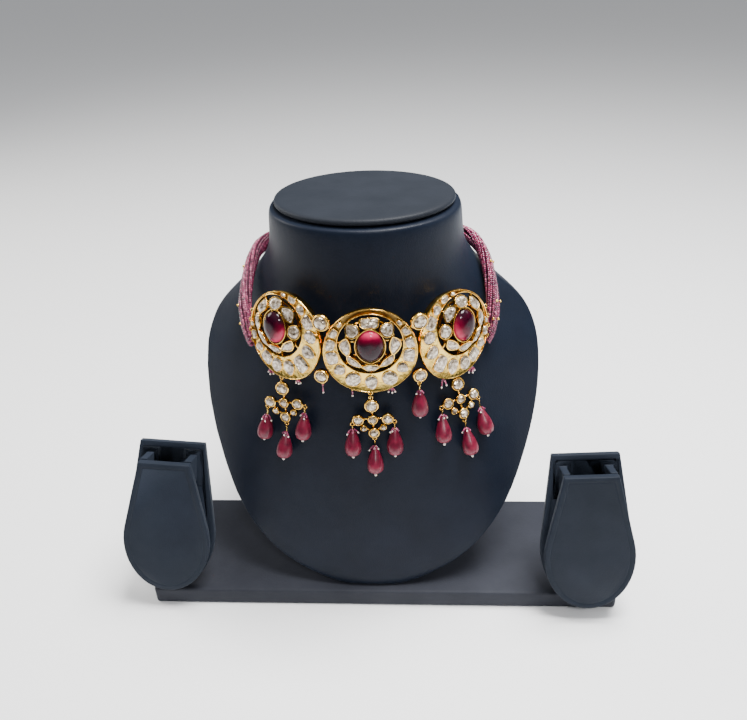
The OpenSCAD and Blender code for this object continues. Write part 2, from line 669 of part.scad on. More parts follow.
module pendant_stones(k) {
    color(polki) in_pendant(k)
        for (p = settings) translate([p.x, p.y, -collet_t / 2]) collet_stone(p.z, collet_t);
}
// The ring between the centre medallion's loop and its pendant's loop
module jump_ring() {
    color(gold) placed(loop_top(0), hang_turn[0], hang_tilt(0)) translate([0, -jump_d / 2, 0])
        rotate([0, 90, 0]) ring(jump_d / 2, ring_wire);
}

// Ruby drops

// Half outline of a drop. Columns: height from its foot as a share of
// drop_h and radius as a share of half drop_d.
drop_rows = [[0, 0.2], [0.02, 0.52], [0.07, 0.78], [0.15, 0.94], [0.26, 1], [0.38, 0.98],
    [0.52, 0.88], [0.66, 0.73], [0.8, 0.55], [0.91, 0.4], [0.97, 0.3], [1, 0.17]];
// Fall of each drop under its ring and its lean, for left, middle and right
drop_fall = [[0.8, 2.2, 1.8], [2.8, 3, 1.7], [1.8, 2.6, 3.6]];
drop_lean = [[-1, 0, 0], [-10, -5, -4], [-6, 2, 5]];
loop_r = ring_r - 0.05;
loop_drop = ring_r - (ring_wire + pin_d) / 2 - wire_gap + loop_r;
neck_gap = 0.25;
rest_gap = 0.4;
widest = 0.74;
function drop_top(fall) = -loop_drop - loop_r - neck_gap - fall;
// Tilt at which a drop's widest part rests on the chest
function drop_tilt(k, r, fall) = let (d = drop_h * widest - drop_top(fall) - ring_r,
        p = pendant_point(k, [r.x, r.y - ring_r - d * 0.95, 0]), x = p.x - axis_x,
        g = (chest_y(x, p.z) - p.y) * cos(chest_turn(x, p.z)))
    asin(max(0, (drop_d / 2 + rest_gap) / cos(chest_tilt(x, p.z)) - g) / d);
// Hangs children, drawn along -Z, from the wire at the foot of a ring
module hang_in(r, lean, tilt) {
    translate([r.x, r.y - ring_r, r.z]) rotate([0, 0, lean]) rotate([-90 - tilt, 0, 0])
        translate([0, 0, ring_r]) children();
}
module hung(k, s) {
    r = ring_at(k, s);
    fall = drop_fall[k][s + 1];
    in_pendant(k) hang_in([r.x, r.y, 0], drop_lean[k][s + 1] - hang_spin[k], drop_tilt(k, r, fall))
        children();
}
module drop_body(fall) {
    top = drop_top(fall);
    rotate_extrude($fn = round_fn) polygon(concat(
        [[drop_bore / 2, top - drop_h]],
        [for (r = drop_rows) [max(r[1] * drop_d / 2, drop_bore / 2 + 0.1), top - drop_h * (1 - r[0])]],
        [[drop_bore / 2, top]]));
}
module pin_body(fall) {
    top = drop_top(fall);
    foot = top - drop_h - pin_ball / 2 - 0.1;
    translate([0, 0, -loop_drop]) rotate([0, 90, 0]) ring(loop_r, pin_d);
    translate([0, 0, foot]) cylinder(d = pin_d, h = -loop_drop - loop_r - foot, $fn = wire_fn);
    translate([0, 0, foot]) sphere(d = pin_ball, $fn = 24);
}
module drop(k, s) {
    color(ruby) hung(k, s) drop_body(drop_fall[k][s + 1]);
}
module drop_pins(k) {
    color(gold) for (s = [-1, 0, 1]) hung(k, s) pin_body(drop_fall[k][s + 1]);
}
// The single drop under the lower right link
link_fall = 2.4;
link_tilt = 2;
module link_hung() {
    on_link(lower_right) hang_in([0, -lower_link_d / 2 - ring_gap, link_t / 2], 0, link_tilt) children();
}
module link_drop() {
    color(ruby) link_hung() drop_body(link_fall);
}
module link_drop_pin() {
    color(gold) link_hung() pin_body(link_fall);
}

// Bundles of bead strands

// The back stretch follows the neck at an angle from straight behind
flare_gap = 1.6;
side_angle = 84;
end_x = clasp_l / 2 + cap_l + 0.3;
end_angle = asin(end_x / half_w(strand_back_z));
function neck_route(s, a) =
    let (z = strand_back_z + (strand_side_z - strand_back_z) * a / side_angle,
        rx = half_w(z), w = wide_y(z), ry = back_y(z) - w,
        n = [2 * sin(a) / rx, back_power * pow(cos(a), 2 - 2 / back_power) / ry],
        off = strand_t / 2 + strand_clear + flare_gap * pow(a / side_angle, 2))
    [axis_x + s * (rx * sin(a) + off * n.x / norm(n)),
        axis_y + w + ry * pow(cos(a), 2 / back_power) + off * n.y / norm(n), z];
// The front stretch is a smooth curve from the medallion's outer edge
// to the side of the neck. Rows: its two guide points, left and right.
route_guides = [[[-7, 4, 14], [-4, -11, -1.2]], [[6, 3.5, 12], [5, -11, -1.2]]];
front_start = 28;
start_gap = 3.9;
function rim_start(s) = let (k = s < 0 ? 1 : 2, r = disc_r + start_gap)
    at(disc_at[k], disc_turn[k], disc_lean[k],
        [s * r * cos(front_start), -r * sin(front_start), -disc_t / 2]);
function bezier(a, b, c, d, t) = a * pow(1 - t, 3) + b * 3 * t * pow(1 - t, 2)
    + c * 3 * t * t * (1 - t) + d * pow(t, 3);
front_steps = 16;
back_steps = 20;
function front_route(s, t) = let (g = route_guides[s < 0 ? 0 : 1], a = rim_start(s),
        d = neck_route(s, side_angle)) bezier(a, a + g[0], d + g[1], d, t);
// Shares of the width and the thickness along the front stretch
front_w = [[0, 0.35], [0.4, 1], [1, 1]];
front_t = [[0, 0.6], [0.35, 1.35], [0.8, 1.15], [1, 1]];
end_share = 0.62;
function strand_stations(s) = concat(
    [for (i = [0:front_steps - 1]) let (t = i / front_steps)
        [front_route(s, t), strand_w * lookup(t, front_w), strand_t * lookup(t, front_t)]],
    [for (i = [0:back_steps]) let (t = i / back_steps, a = side_angle + (end_angle - side_angle) * t)
        [neck_route(s, a), strand_w * (1 - (1 - end_share) * pow(t, 3)), strand_t]]);
strand_sides = 12;
module strands(s) {
    st = strand_stations(s);
    n = len(st);
    color(garnet) skin([for (i = [0:n - 1])
        let (p = st[i][0], d = st[min(i + 1, n - 1)][0] - st[max(i - 1, 0)][0], t = d / norm(d),
            o = [p.x - axis_x, p.y - axis_y, 0], c = cross(t, o), b = c / norm(c), m = cross(b, t))
        [for (j = [0:strand_sides - 1]) let (a = 360 * j / strand_sides)
            p + m * (st[i][2] / 2 * cos(a)) + b * (st[i][1] / 2 * sin(a))]]);
}
// Caps and clasp behind the neck
back_mid = [axis_x, neck_route(1, 0).y, strand_back_z];
module behind(s) {
    translate(back_mid) rotate([0, 90 * s, 0]) children();
}
module end_cap(s) {
    color(gold) behind(s) translate([0, 0, clasp_l / 2 + 0.1])
        cylinder(d1 = clasp_d - 1, d2 = strand_t, h = cap_l, $fn = round_fn);
}
module clasp() {
    color(gold) behind(1) translate([0, 0, -clasp_l / 2]) {
        cylinder(d = clasp_d, h = clasp_l, $fn = round_fn);
        translate([0, 0, clasp_l * 0.42]) cylinder(d = clasp_d + 0.5, h = clasp_l * 0.16, $fn = round_fn);
    }
}

base_board();
bust();
bust_cap();
ear_back(-1);  // left_ear_stand_back
ear_tongue(-1);  // left_ear_stand_tongue
ear_back(1);  // right_ear_stand_back
ear_tongue(1);  // right_ear_stand_tongue
medallion(0);  // center_medallion
ruby_stone(0);  // center_ruby
crescent_stones(0);  // center_crescent_stones
petal_stones(0);  // center_petal_stones
medallion(1);  // left_medallion
ruby_stone(1);  // left_ruby
crescent_stones(1);  // left_crescent_stones
petal_stones(1);  // left_petal_stones
medallion(2);  // right_medallion
ruby_stone(2);  // right_ruby
crescent_stones(2);  // right_crescent_stones
petal_stones(2);  // right_petal_stones
link(upper_left);  // upper_left_link
link_stone(upper_left);  // upper_left_link_stone
link(lower_left);  // lower_left_link
link_stone(lower_left);  // lower_left_link_stone
link(upper_right);  // upper_right_link
link_stone(upper_right);  // upper_right_link_stone
link(lower_right);  // lower_right_link
link_stone(lower_right);  // lower_right_link_stone
pendant(0);  // center_pendant
pendant_stones(0);  // center_pendant_stones
jump_ring();  // center_jump_ring
drop_pins(0);  // center_drop_pins
drop(0, -1);  // center_drop_left
drop(0, 0);  // center_drop_middle
drop(0, 1);  // center_drop_right
pendant(1);  // left_pendant
pendant_stones(1);  // left_pendant_stones
drop_pins(1);  // left_drop_pins
drop(1, -1);  // left_drop_left
drop(1, 0);  // left_drop_middle
drop(1, 1);  // left_drop_right
pendant(2);  // right_pendant
pendant_stones(2);  // right_pendant_stones
drop_pins(2);  // right_drop_pins
drop(2, -1);  // right_drop_left
drop(2, 0);  // right_drop_middle
drop(2, 1);  // right_drop_right
link_drop();
link_drop_pin();
strands(-1);  // left_strands
strands(1);  // right_strands
end_cap(-1);  // left_end_cap
end_cap(1);  // right_end_cap
clasp();
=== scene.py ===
# %% [markdown]
# # A kundan choker on its neck bust
#
# The necklace is made of three round gold medallions with rubies and flat-cut
# polki stones, pendants with ruby drops, and two thick bundles of fine garnet
# seed beads. It is worn on a black leatherette neck bust. Bust, boards and
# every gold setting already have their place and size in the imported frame, so
# each cell below makes one kind of piece, and sets it where the frame has it.

# %% Load the frame
import math
import random
from contextlib import contextmanager

import bpy
import numpy as np
from mathutils import Matrix, Vector


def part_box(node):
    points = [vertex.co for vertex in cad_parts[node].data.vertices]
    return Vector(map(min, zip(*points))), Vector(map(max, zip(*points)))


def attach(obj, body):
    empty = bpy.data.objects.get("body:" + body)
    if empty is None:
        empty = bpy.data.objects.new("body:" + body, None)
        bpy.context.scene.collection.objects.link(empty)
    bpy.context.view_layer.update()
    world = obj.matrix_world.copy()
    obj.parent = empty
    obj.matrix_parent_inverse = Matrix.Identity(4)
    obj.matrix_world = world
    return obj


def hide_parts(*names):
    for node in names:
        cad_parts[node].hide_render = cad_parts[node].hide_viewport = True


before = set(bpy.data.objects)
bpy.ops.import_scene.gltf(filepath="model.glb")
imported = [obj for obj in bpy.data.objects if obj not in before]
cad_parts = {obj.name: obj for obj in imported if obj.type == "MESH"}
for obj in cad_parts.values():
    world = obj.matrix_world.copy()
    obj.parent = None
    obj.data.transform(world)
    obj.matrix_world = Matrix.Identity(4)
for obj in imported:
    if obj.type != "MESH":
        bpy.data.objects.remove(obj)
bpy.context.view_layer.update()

# %% [markdown]
# ## The camera
#
# The photograph looks down at the bust from just right of its middle, and the
# picture leans a little. Position, direction and lens were worked out from the
# board's corners, the round lid and the two earring stands, whose real shapes
# are known. A camera looks along its own -Z, so its matrix is built from the
# picture's right, its up and its backward direction.

# %% Camera
MM = 0.001
board_low, board_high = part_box("base_board")
lid_low, lid_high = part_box("bust_cap")
neck = Vector(((lid_low.x + lid_high.x) / 2, (lid_low.y + lid_high.y) / 2, 0)) / MM
board_front = Vector(((board_low.x + board_high.x) / 2, board_low.y, 0))
camera_at = board_front + Vector((21.68, -291.24, 321.95)) * MM
pitch, yaw, roll = (math.radians(v) for v in (29.905, -4.048, 2.397))
PICTURE_WIDTH, FOCAL_PIXELS = 747, 760
forward = Vector((math.sin(yaw) * math.cos(pitch), math.cos(yaw) * math.cos(pitch), -math.sin(pitch)))
level = Vector((math.cos(yaw), -math.sin(yaw), 0))
down = forward.cross(level)
picture_right = level * math.cos(roll) + down * math.sin(roll)
picture_down = down * math.cos(roll) - level * math.sin(roll)
camera = bpy.data.objects.new("camera", bpy.data.cameras.new("camera"))
camera.matrix_world = Matrix((picture_right, -picture_down, -forward)).transposed().to_4x4()
camera.location = camera_at
camera.data.sensor_width = 36
camera.data.lens = camera.data.sensor_width * FOCAL_PIXELS / PICTURE_WIDTH
camera.data.clip_start, camera.data.clip_end = 0.01, 20
bpy.context.scene.collection.objects.link(camera)
bpy.context.scene.camera = camera
print("camera lens", round(camera.data.lens, 2), "mm")

# %% [markdown]
# ## Tools for this bench
#
# Operators act on whatever is selected, so each piece starts with a clean
# selection. A finished piece keeps its place in its mesh and its object stays
# at the origin, like every piece of the frame. `placed` builds the matrix of a
# plane that faces the viewer, turned about Z and tilted back, and the small
# pieces are made flat in that plane: X right, Y up, Z outward.

# %% Bench tools
def clear():
    for o in bpy.context.selected_objects:
        o.select_set(False)


def choose(obj):
    clear()
    obj.select_set(True)
    bpy.context.view_layer.objects.active = obj
    return obj


def settle(obj, name):
    """Names the piece and moves its object's place into its mesh."""
    choose(obj)
    bpy.ops.object.transform_apply(location=True, rotation=True, scale=True)
    obj.name = obj.data.name = name
    return obj


def shifted(x, y, z=0.0):
    return Matrix.Translation((x, y, z))


def spun(angle, axis="Z"):
    return Matrix.Rotation(math.radians(angle), 4, axis)


def placed(centre, turn, tilt=0.0, scale=MM):
    return (Matrix.Translation(Vector(centre) * MM) @ spun(turn)
            @ spun(90 - tilt, "X") @ Matrix.Scale(scale, 4))


def built(name, points, faces, edges=()):
    """A new object from points and the faces or edges between them."""
    me = bpy.data.meshes.new(name)
    me.from_pydata(points, edges, faces)
    obj = bpy.data.objects.new(name, me)
    bpy.context.scene.collection.objects.link(obj)
    return obj


def skin_of(rows, sides, closed=False):
    """Faces between rings of points. A closed skin also joins its last ring to its first."""
    return [[i * sides + j, i * sides + (j + 1) % sides,
             (i + 1) % rows * sides + (j + 1) % sides, (i + 1) % rows * sides + j]
            for i in range(rows if closed else rows - 1) for j in range(sides)]


@contextmanager
def editing(obj):
    """Opens a piece in edit mode with everything on it selected."""
    choose(obj)
    bpy.ops.object.mode_set(mode="EDIT")
    bpy.ops.mesh.select_all(action="SELECT")
    yield
    bpy.ops.object.mode_set(mode="OBJECT")


def apply_all(obj):
    choose(obj)
    for m in list(obj.modifiers):
        bpy.ops.object.modifier_apply(modifier=m.name)
    return obj


def rounded(obj, width, segments=2, angle=35):
    """Rounds the sharp edges, as polishing does."""
    m = obj.modifiers.new("rounding", "BEVEL")
    m.width, m.segments, m.limit_method, m.angle_limit = width, segments, "ANGLE", math.radians(angle)
    return apply_all(obj)


def smooth(obj, angle=40):
    choose(obj)
    bpy.ops.object.shade_smooth_by_angle(angle=math.radians(angle))
    return obj


def outward(obj):
    """Recalculates the normals of a closed piece."""
    with editing(obj):
        bpy.ops.mesh.remove_doubles(threshold=1e-6)
        bpy.ops.mesh.normals_make_consistent(inside=False)
    return obj


def toned(obj, values):
    """Keeps a number on each point, which a finish can read as a shade."""
    obj.data.attributes.new("tone", "FLOAT", "POINT").data.foreach_set("value", values)


def set_out(model, matrices, name, tones=()):
    """Copies one small model to every matrix, as a single mesh, with a tone for each copy."""
    me = model.data
    co = np.empty(len(me.vertices) * 3)
    me.vertices.foreach_get("co", co)
    co = np.hstack([co.reshape(-1, 3), np.ones((len(me.vertices), 1))])
    faces = [list(p.vertices) for p in me.polygons]
    points, polys = [], []
    for i, m in enumerate(matrices):
        points.append((co @ np.array(m).T)[:, :3])
        flip = m.determinant() < 0
        polys += [[v + i * len(co) for v in (reversed(f) if flip else f)] for f in faces]
    obj = built(name, np.vstack(points).tolist(), polys)
    obj.data.polygons.foreach_set("use_smooth", [p.use_smooth for p in me.polygons] * len(matrices))
    if tones:
        toned(obj, np.repeat(tones, len(me.vertices)))
    return obj


def joined(objs, name):
    clear()
    for o in objs:
        o.select_set(True)
    bpy.context.view_layer.objects.active = objs[0]
    if len(objs) > 1:
        bpy.ops.object.join()
    objs[0].name = objs[0].data.name = name
    return objs[0]


def drop_model(obj):
    me = obj.data
    bpy.data.objects.remove(obj)
    bpy.data.meshes.remove(me)


def wear(obj, material, slot, *nodes):
    """Gives a finished piece its finish, its body and the frame's nodes that it stands for."""
    if material is not None:
        obj.data.materials.clear()
        obj.data.materials.append(material)
    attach(obj, "root")
    if nodes:
        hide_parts(*nodes)


print("bench ready")

# %% [markdown]
# ## Finishes
#
# Every finish is built from shader nodes on Object coordinates, which here are
# metres, so a noise scale of 1000 gives marks about a millimetre across. The
# bumps are very low: on a polished piece they only make the reflections run
# unevenly, as handwork does.

# %% Finish helpers
def new_finish(name, **plain):
    """A material with one Principled shader. A plain value is named as its socket, with _ for a space."""
    m = bpy.data.materials.new(name)
    m.use_nodes = True
    tree = m.node_tree
    tree.nodes.clear()
    out = tree.nodes.new("ShaderNodeOutputMaterial")
    skin = tree.nodes.new("ShaderNodeBsdfPrincipled")
    tree.links.new(skin.outputs["BSDF"], out.inputs["Surface"])
    coords = tree.nodes.new("ShaderNodeTexCoord").outputs["Object"]
    for socket, value in plain.items():
        skin.inputs[socket.replace("_", " ")].default_value = value
    return m, tree, skin, coords


def kept_tone(tree):
    """The number that a piece keeps on its points."""
    n = tree.nodes.new("ShaderNodeAttribute")
    n.attribute_name = "tone"
    return n.outputs["Fac"]


def noise(tree, coords, scale, detail=3.0, rough=0.5):
    n = tree.nodes.new("ShaderNodeTexNoise")
    n.inputs["Scale"].default_value = scale
    n.inputs["Detail"].default_value = detail
    n.inputs["Roughness"].default_value = rough
    tree.links.new(coords, n.inputs["Vector"])
    return n.outputs["Fac"]


def cells(tree, coords, scale, feature="F1"):
    n = tree.nodes.new("ShaderNodeTexVoronoi")
    n.feature = feature
    n.inputs["Scale"].default_value = scale
    tree.links.new(coords, n.inputs["Vector"])
    return n.outputs["Distance"]


def ramp(tree, value, stops):
    r = tree.nodes.new("ShaderNodeValToRGB")
    for e, (at, colour) in zip((r.color_ramp.elements[0], r.color_ramp.elements[1]), stops[:2]):
        e.position, e.color = at, (*colour, 1)
    for at, colour in stops[2:]:
        r.color_ramp.elements.new(at).color = (*colour, 1)
    tree.links.new(value, r.inputs["Fac"])
    return r.outputs["Color"]


def coloured(tree, skin, value, stops):
    tree.links.new(ramp(tree, value, stops), skin.inputs["Base Color"])


def glossed(tree, skin, value, low, high):
    r = tree.nodes.new("ShaderNodeMapRange")
    r.inputs["To Min"].default_value, r.inputs["To Max"].default_value = low, high
    tree.links.new(value, r.inputs["Value"])
    tree.links.new(r.outputs["Result"], skin.inputs["Roughness"])


def bump(tree, skin, height, distance, strength=1.0, under=None):
    b = tree.nodes.new("ShaderNodeBump")
    b.inputs["Distance"].default_value = distance
    b.inputs["Strength"].default_value = strength
    tree.links.new(height, b.inputs["Height"])
    if under is not None:
        tree.links.new(under, b.inputs["Normal"])
    tree.links.new(b.outputs["Normal"], skin.inputs["Normal"])
    return b.outputs["Normal"]


print("finish helpers ready")

# %% [markdown]
# Gold on this kind of work is nearly pure, so it is a warm yellow, and it is
# burnished by hand round each stone. The colour drifts a little, and a fine
# hammered bump breaks the reflections up. Wide flat places get a rougher foil
# gold, and the sunk floor of a crescent's horns a darker one, which is painted
# shade, as little light reaches it there.

# %% Gold
def burnished(name, dark, bright, rough, dents):
    m, tree, skin, coords = new_finish(name, Metallic=1.0)
    drift = noise(tree, coords, 260, 2)
    coloured(tree, skin, drift, [(0.3, dark), (0.7, bright)])
    glossed(tree, skin, noise(tree, coords, 900, 3), *rough)
    wavy = bump(tree, skin, noise(tree, coords, 480, 2), 0.0003, dents)
    hammered = bump(tree, skin, cells(tree, coords, 1100, "SMOOTH_F1"), 0.00008, 0.5, wavy)
    bump(tree, skin, noise(tree, coords, 2600, 2), 0.00003, 0.4, hammered)
    return m


gold = burnished("burnished_gold", (0.62, 0.33, 0.055), (0.92, 0.62, 0.16), (0.08, 0.26), 0.5)
foil = burnished("gold_foil", (0.84, 0.52, 0.09), (0.98, 0.71, 0.19), (0.16, 0.30), 0.9)
# A darker copy of the gold: painted shade for the sunk floors of the horns.
painted_shade_gold = burnished("painted_shade_gold", (0.26, 0.14, 0.035), (0.46, 0.29, 0.09), (0.22, 0.40), 0.8)
print(gold.name, foil.name, painted_shade_gold.name)

# %% [markdown]
# Polki are uncut or flat-cut diamonds set over silver foil. They have little
# fire: they look like cloudy window glass, with bright and dark patches that
# change from facet to facet. A glassy coat over a milky, slightly metallic
# body gives this without tracing rays through hundreds of stones.

# %% Polki
polki, tree, skin, coords = new_finish("polki", Metallic=0.6, IOR=1.9, Coat_Weight=1.0, Coat_Roughness=0.02)
cloud = noise(tree, coords, 620, 4, 0.65)
coloured(tree, skin, cloud, [(0.34, (0.09, 0.062, 0.040)), (0.66, (0.92, 0.85, 0.74)),
                                  (0.5, (0.46, 0.36, 0.25))])
glossed(tree, skin, noise(tree, coords, 700, 2), 0.05, 0.20)
bump(tree, skin, noise(tree, coords, 700, 2), 0.0004, 0.5)
print(polki.name)

# %% [markdown]
# The three big rubies are deep: dark plum in the middle, and painted pink-red
# towards one edge, as painted light where light leaves them. Each point of a
# ruby keeps a number, called tone, which is high near that edge, and the finish
# turns it into the colour, with a little cloudiness on top.

# %% Ruby
ruby, tree, skin, coords = new_finish("ruby", IOR=1.5, Specular_IOR_Level=0.28)
clouds = tree.nodes.new("ShaderNodeMath")
clouds.operation = "MULTIPLY_ADD"
clouds.inputs[1].default_value = 0.35
tree.links.new(noise(tree, coords, 260, 3), clouds.inputs[0])
tree.links.new(kept_tone(tree), clouds.inputs[2])
# A high tone paints pink-red light near one edge of the stone: painted light.
coloured(tree, skin, clouds.outputs["Value"], [(0.18, (0.016, 0.001, 0.006)), (1.0, (0.62, 0.028, 0.10)),
                                               (0.5, (0.12, 0.002, 0.016))])
glossed(tree, skin, noise(tree, coords, 800, 2), 0.03, 0.10)
bump(tree, skin, noise(tree, coords, 350, 2), 0.0003, 0.2)
print(ruby.name)

# %% [markdown]
# The drops are opaque-looking ruby beads with softly cut sides. Their lower part
# is painted paler, as painted light where the light passes it, and some light
# also scatters inside them.

# %% Drop ruby
drop_ruby, tree, skin, coords = new_finish(
    "drop_ruby", IOR=1.5, Specular_IOR_Level=0.4, Subsurface_Weight=0.15,
    Subsurface_Radius=(0.003, 0.0006, 0.0009))
veil = noise(tree, coords, 330, 4, 0.6)
painted_light_mix = tree.nodes.new("ShaderNodeMix")
painted_light_mix.data_type = "RGBA"
# Low points of a drop get the paler shades: painted light on its lower part.
tree.links.new(ramp(tree, kept_tone(tree), [(0.05, (1, 1, 1)), (0.42, (0, 0, 0))]), painted_light_mix.inputs["Factor"])
for socket, dark, pale in (("A", (0.060, 0.002, 0.011), (0.19, 0.007, 0.030)),
                           ("B", (0.14, 0.013, 0.030), (0.31, 0.045, 0.075))):
    tree.links.new(ramp(tree, veil, [(0.3, dark), (0.75, pale)]), painted_light_mix.inputs[socket])
tree.links.new(painted_light_mix.outputs["Result"], skin.inputs["Base Color"])
glossed(tree, skin, noise(tree, coords, 900, 2), 0.24, 0.42)
bump(tree, skin, noise(tree, coords, 1500, 3), 0.00006, 0.5)
print(drop_ruby.name)

# %% [markdown]
# The seed beads are garnet glass, plum to raspberry, and no two quite alike.
# Each bead keeps a number on its points, called tone, and the finish turns it
# into a shade. The core inside a bundle stands for its thread and its inner
# strands, and is a dull dark red as painted shade, since those lie in shade.

# %% Garnet and pearl
garnet, tree, skin, coords = new_finish(
    "garnet_beads", IOR=1.6, Coat_Weight=0.6, Subsurface_Weight=0.15,
    Subsurface_Radius=(0.0012, 0.0003, 0.0005))
coloured(tree, skin, kept_tone(tree), [(0.05, (0.070, 0.005, 0.026)), (0.95, (0.58, 0.11, 0.22)),
                                       (0.5, (0.20, 0.020, 0.070))])
glossed(tree, skin, noise(tree, coords, 1300, 2), 0.08, 0.25)

# The core's dull dark red is painted shade for the shaded inside of a bundle.
core_painted_shade, tree, skin, coords = new_finish("core_painted_shade", Roughness=0.8)
coloured(tree, skin, noise(tree, coords, 900, 3),
         [(0.3, (0.030, 0.004, 0.014)), (0.7, (0.075, 0.010, 0.032))])

pearl, tree, skin, coords = new_finish(
    "pearl", Coat_Weight=0.7, Coat_Roughness=0.1, Subsurface_Weight=0.25,
    Subsurface_Radius=(0.001, 0.0008, 0.0006))
lustre = noise(tree, coords, 700, 3)
coloured(tree, skin, lustre, [(0.3, (0.72, 0.58, 0.50)), (0.7, (0.93, 0.86, 0.80))])
glossed(tree, skin, lustre, 0.18, 0.32)
print(garnet.name, pearl.name)

# %% [markdown]
# The display is wrapped in black leatherette with a blue cast. Its grain is a
# net of tiny pebbles well under a millimetre, with slow changes of gloss where
# hands have touched it, and a trace of dust that lightens the colour. The lid,
# the board and the stands get lighter copies of the same leatherette: painted
# light, as they catch more light than the bust.

# %% Leatherette
def leatherette(name, grain, dark, pale, gloss):
    m, tree, skin, coords = new_finish(name, Specular_IOR_Level=0.12, Sheen_Weight=0.05,
                                       Sheen_Roughness=0.5, Sheen_Tint=(0.55, 0.66, 0.85, 1))
    mottled = noise(tree, coords, 38, 5, 0.6)
    coloured(tree, skin, mottled, [(0.3, dark), (0.75, pale)])
    glossed(tree, skin, noise(tree, coords, 90, 4), gloss - 0.06, gloss + 0.08)
    pebbles = bump(tree, skin, cells(tree, coords, grain), 0.00012, 0.35)
    bump(tree, skin, noise(tree, coords, grain * 0.4, 4), 0.00012, 0.3, pebbles)
    return m


bust_hide = leatherette("bust_leatherette", 1500,
                        (0.0030, 0.0050, 0.0112), (0.0054, 0.0086, 0.0172), 0.42)
# Lighter copies of the same black leatherette: painted light on lid, board and stands.
lid_hide_painted_light = leatherette("lid_leatherette_painted_light", 1350,
                       (0.0085, 0.0102, 0.0140), (0.0130, 0.0152, 0.0205), 0.52)
board_hide_painted_light = leatherette("board_leatherette_painted_light", 1250,
                         (0.0210, 0.0225, 0.0295), (0.0310, 0.0330, 0.0420), 0.58)
stand_hide_painted_light = leatherette("stand_leatherette_painted_light", 1300,
                         (0.0085, 0.0120, 0.0190), (0.0140, 0.0185, 0.0285), 0.58)
print(bust_hide.name, lid_hide_painted_light.name, board_hide_painted_light.name, stand_hide_painted_light.name)

# %% [markdown]
# ## The bust
#
# A neck bust is a moulded shell with leatherette stretched over it, so it has
# no hard edges at all. The frame's bust gives its sections. A copy is merged,
# its triangles are joined back to quads, and Subdivision Surface rounds it.

# %% Bust
def from_frame(node, name):
    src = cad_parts[node]
    obj = bpy.data.objects.new(name, src.data.copy())
    bpy.context.scene.collection.objects.link(obj)
    obj.data.name = name
    with editing(obj):
        bpy.ops.mesh.remove_doubles(threshold=2e-6)
        bpy.ops.mesh.customdata_custom_splitnormals_clear()
        bpy.ops.mesh.tris_convert_to_quads(face_threshold=math.radians(60),
                                           shape_threshold=math.radians(60))
        bpy.ops.mesh.dissolve_limited(angle_limit=math.radians(0.05))
    return obj


def subdivided(obj, levels):
    m = obj.modifiers.new("form", "SUBSURF")
    m.levels = m.render_levels = levels
    return apply_all(obj)


bust = subdivided(from_frame("bust", "bust_form"), 2)
smooth(bust, 180)
wear(bust, bust_hide, "black_leatherette", "bust")
print("bust faces", len(bust.data.polygons))

# %% [markdown]
# ## The rest of the display
#
# The lid is a thin cushion that closes the neck. Its outline is an oval, and it
# is drawn as one flat face that is pushed up and scaled a few times, which
# rounds its edge and crowns its top. Subdivision then makes it soft.

# %% Lid cushion
def laid(points, name="model"):
    """One flat face with this outline, which faces +Z."""
    return built(name, [(x, y, 0) for x, y in points], [range(len(points))])


def pushed(obj, steps):
    """Extrudes the face upward once for each step of height and size."""
    last_z, last_size = 0, 1
    with editing(obj):
        for z, size in steps:
            bpy.ops.mesh.extrude_region_move(TRANSFORM_OT_translate={"value": (0, 0, z - last_z)})
            s = size / last_size
            bpy.ops.transform.resize(value=(s, s, 1), center_override=(0, 0, 0))
            last_z, last_size = z, size
    return outward(obj)


def oval(w, l, n):
    return [(w / 2 * math.cos(math.tau * i / n), l / 2 * math.sin(math.tau * i / n)) for i in range(n)]


lid_w, lid_l, lid_t = ((lid_high - lid_low) / MM)[:]
cushion = [(0.0, 0.975), (0.12, 0.992), (0.35, 1.0), (0.62, 0.997), (0.82, 0.985), (0.93, 0.965),
           (0.985, 0.93), (1.0, 0.87), (1.02, 0.7), (1.03, 0.45), (1.035, 0.2)]
lid = pushed(laid(oval(lid_w, lid_l, 64)), [(lid_t * z, size) for z, size in cushion])
lid.data.transform(Matrix.Translation((neck * MM)[:2] + (lid_low.z,)) @ Matrix.Scale(MM, 4))
lid.name = lid.data.name = "lid_cushion"
subdivided(lid, 1)
smooth(lid, 180)
wear(lid, lid_hide_painted_light, "padded_leatherette", "bust_cap")
print("lid", round(lid_w, 1), "by", round(lid_l, 1), "mm")

# %% [markdown]
# The board and the two earring stands are stiff plates wrapped in the same
# leatherette. Wrapping softens each edge to a small radius, so copies of the
# frame's plates get a bevel. Along the front of each stand's plate runs a
# pressed crease, made by insetting the front face twice and letting the line
# between sink.

# %% Board and stands
def creased(obj, margin, toward, least):
    """Presses a fine line into each large face that looks the given way."""
    for e in (*obj.data.edges, *obj.data.vertices):
        e.select = False
    for p in obj.data.polygons:
        p.select = p.normal.dot(toward) > 0.9 and p.area > least
    choose(obj)
    bpy.ops.object.mode_set(mode="EDIT")
    bpy.ops.mesh.select_mode(type="FACE")
    for wide, deep in ((margin, 0), (0.45 * MM, -0.32 * MM), (0.45 * MM, 0.32 * MM)):
        bpy.ops.mesh.inset(thickness=wide, depth=deep)
    bpy.ops.object.mode_set(mode="OBJECT")
    return obj


board = rounded(from_frame("base_board", "wrapped_board"), 1.3 * MM, 4)
smooth(board, 50)
wear(board, board_hide_painted_light, "black_leatherette", "base_board")
for side in ("left", "right"):
    for plate, name in (("back", "back_plate"), ("tongue", "front_tongue")):
        form = from_frame(f"{side}_ear_stand_{plate}", f"{side}_{name}")
        creased(form, 2.4 * MM, Vector((0, -0.94, 0.34)), 4e-4)
        rounded(form, 0.9 * MM, 3, 50)
        smooth(form, 50)
        wear(form, stand_hide_painted_light, "black_leatherette", f"{side}_ear_stand_{plate}")
print("stands", 4, "plates")

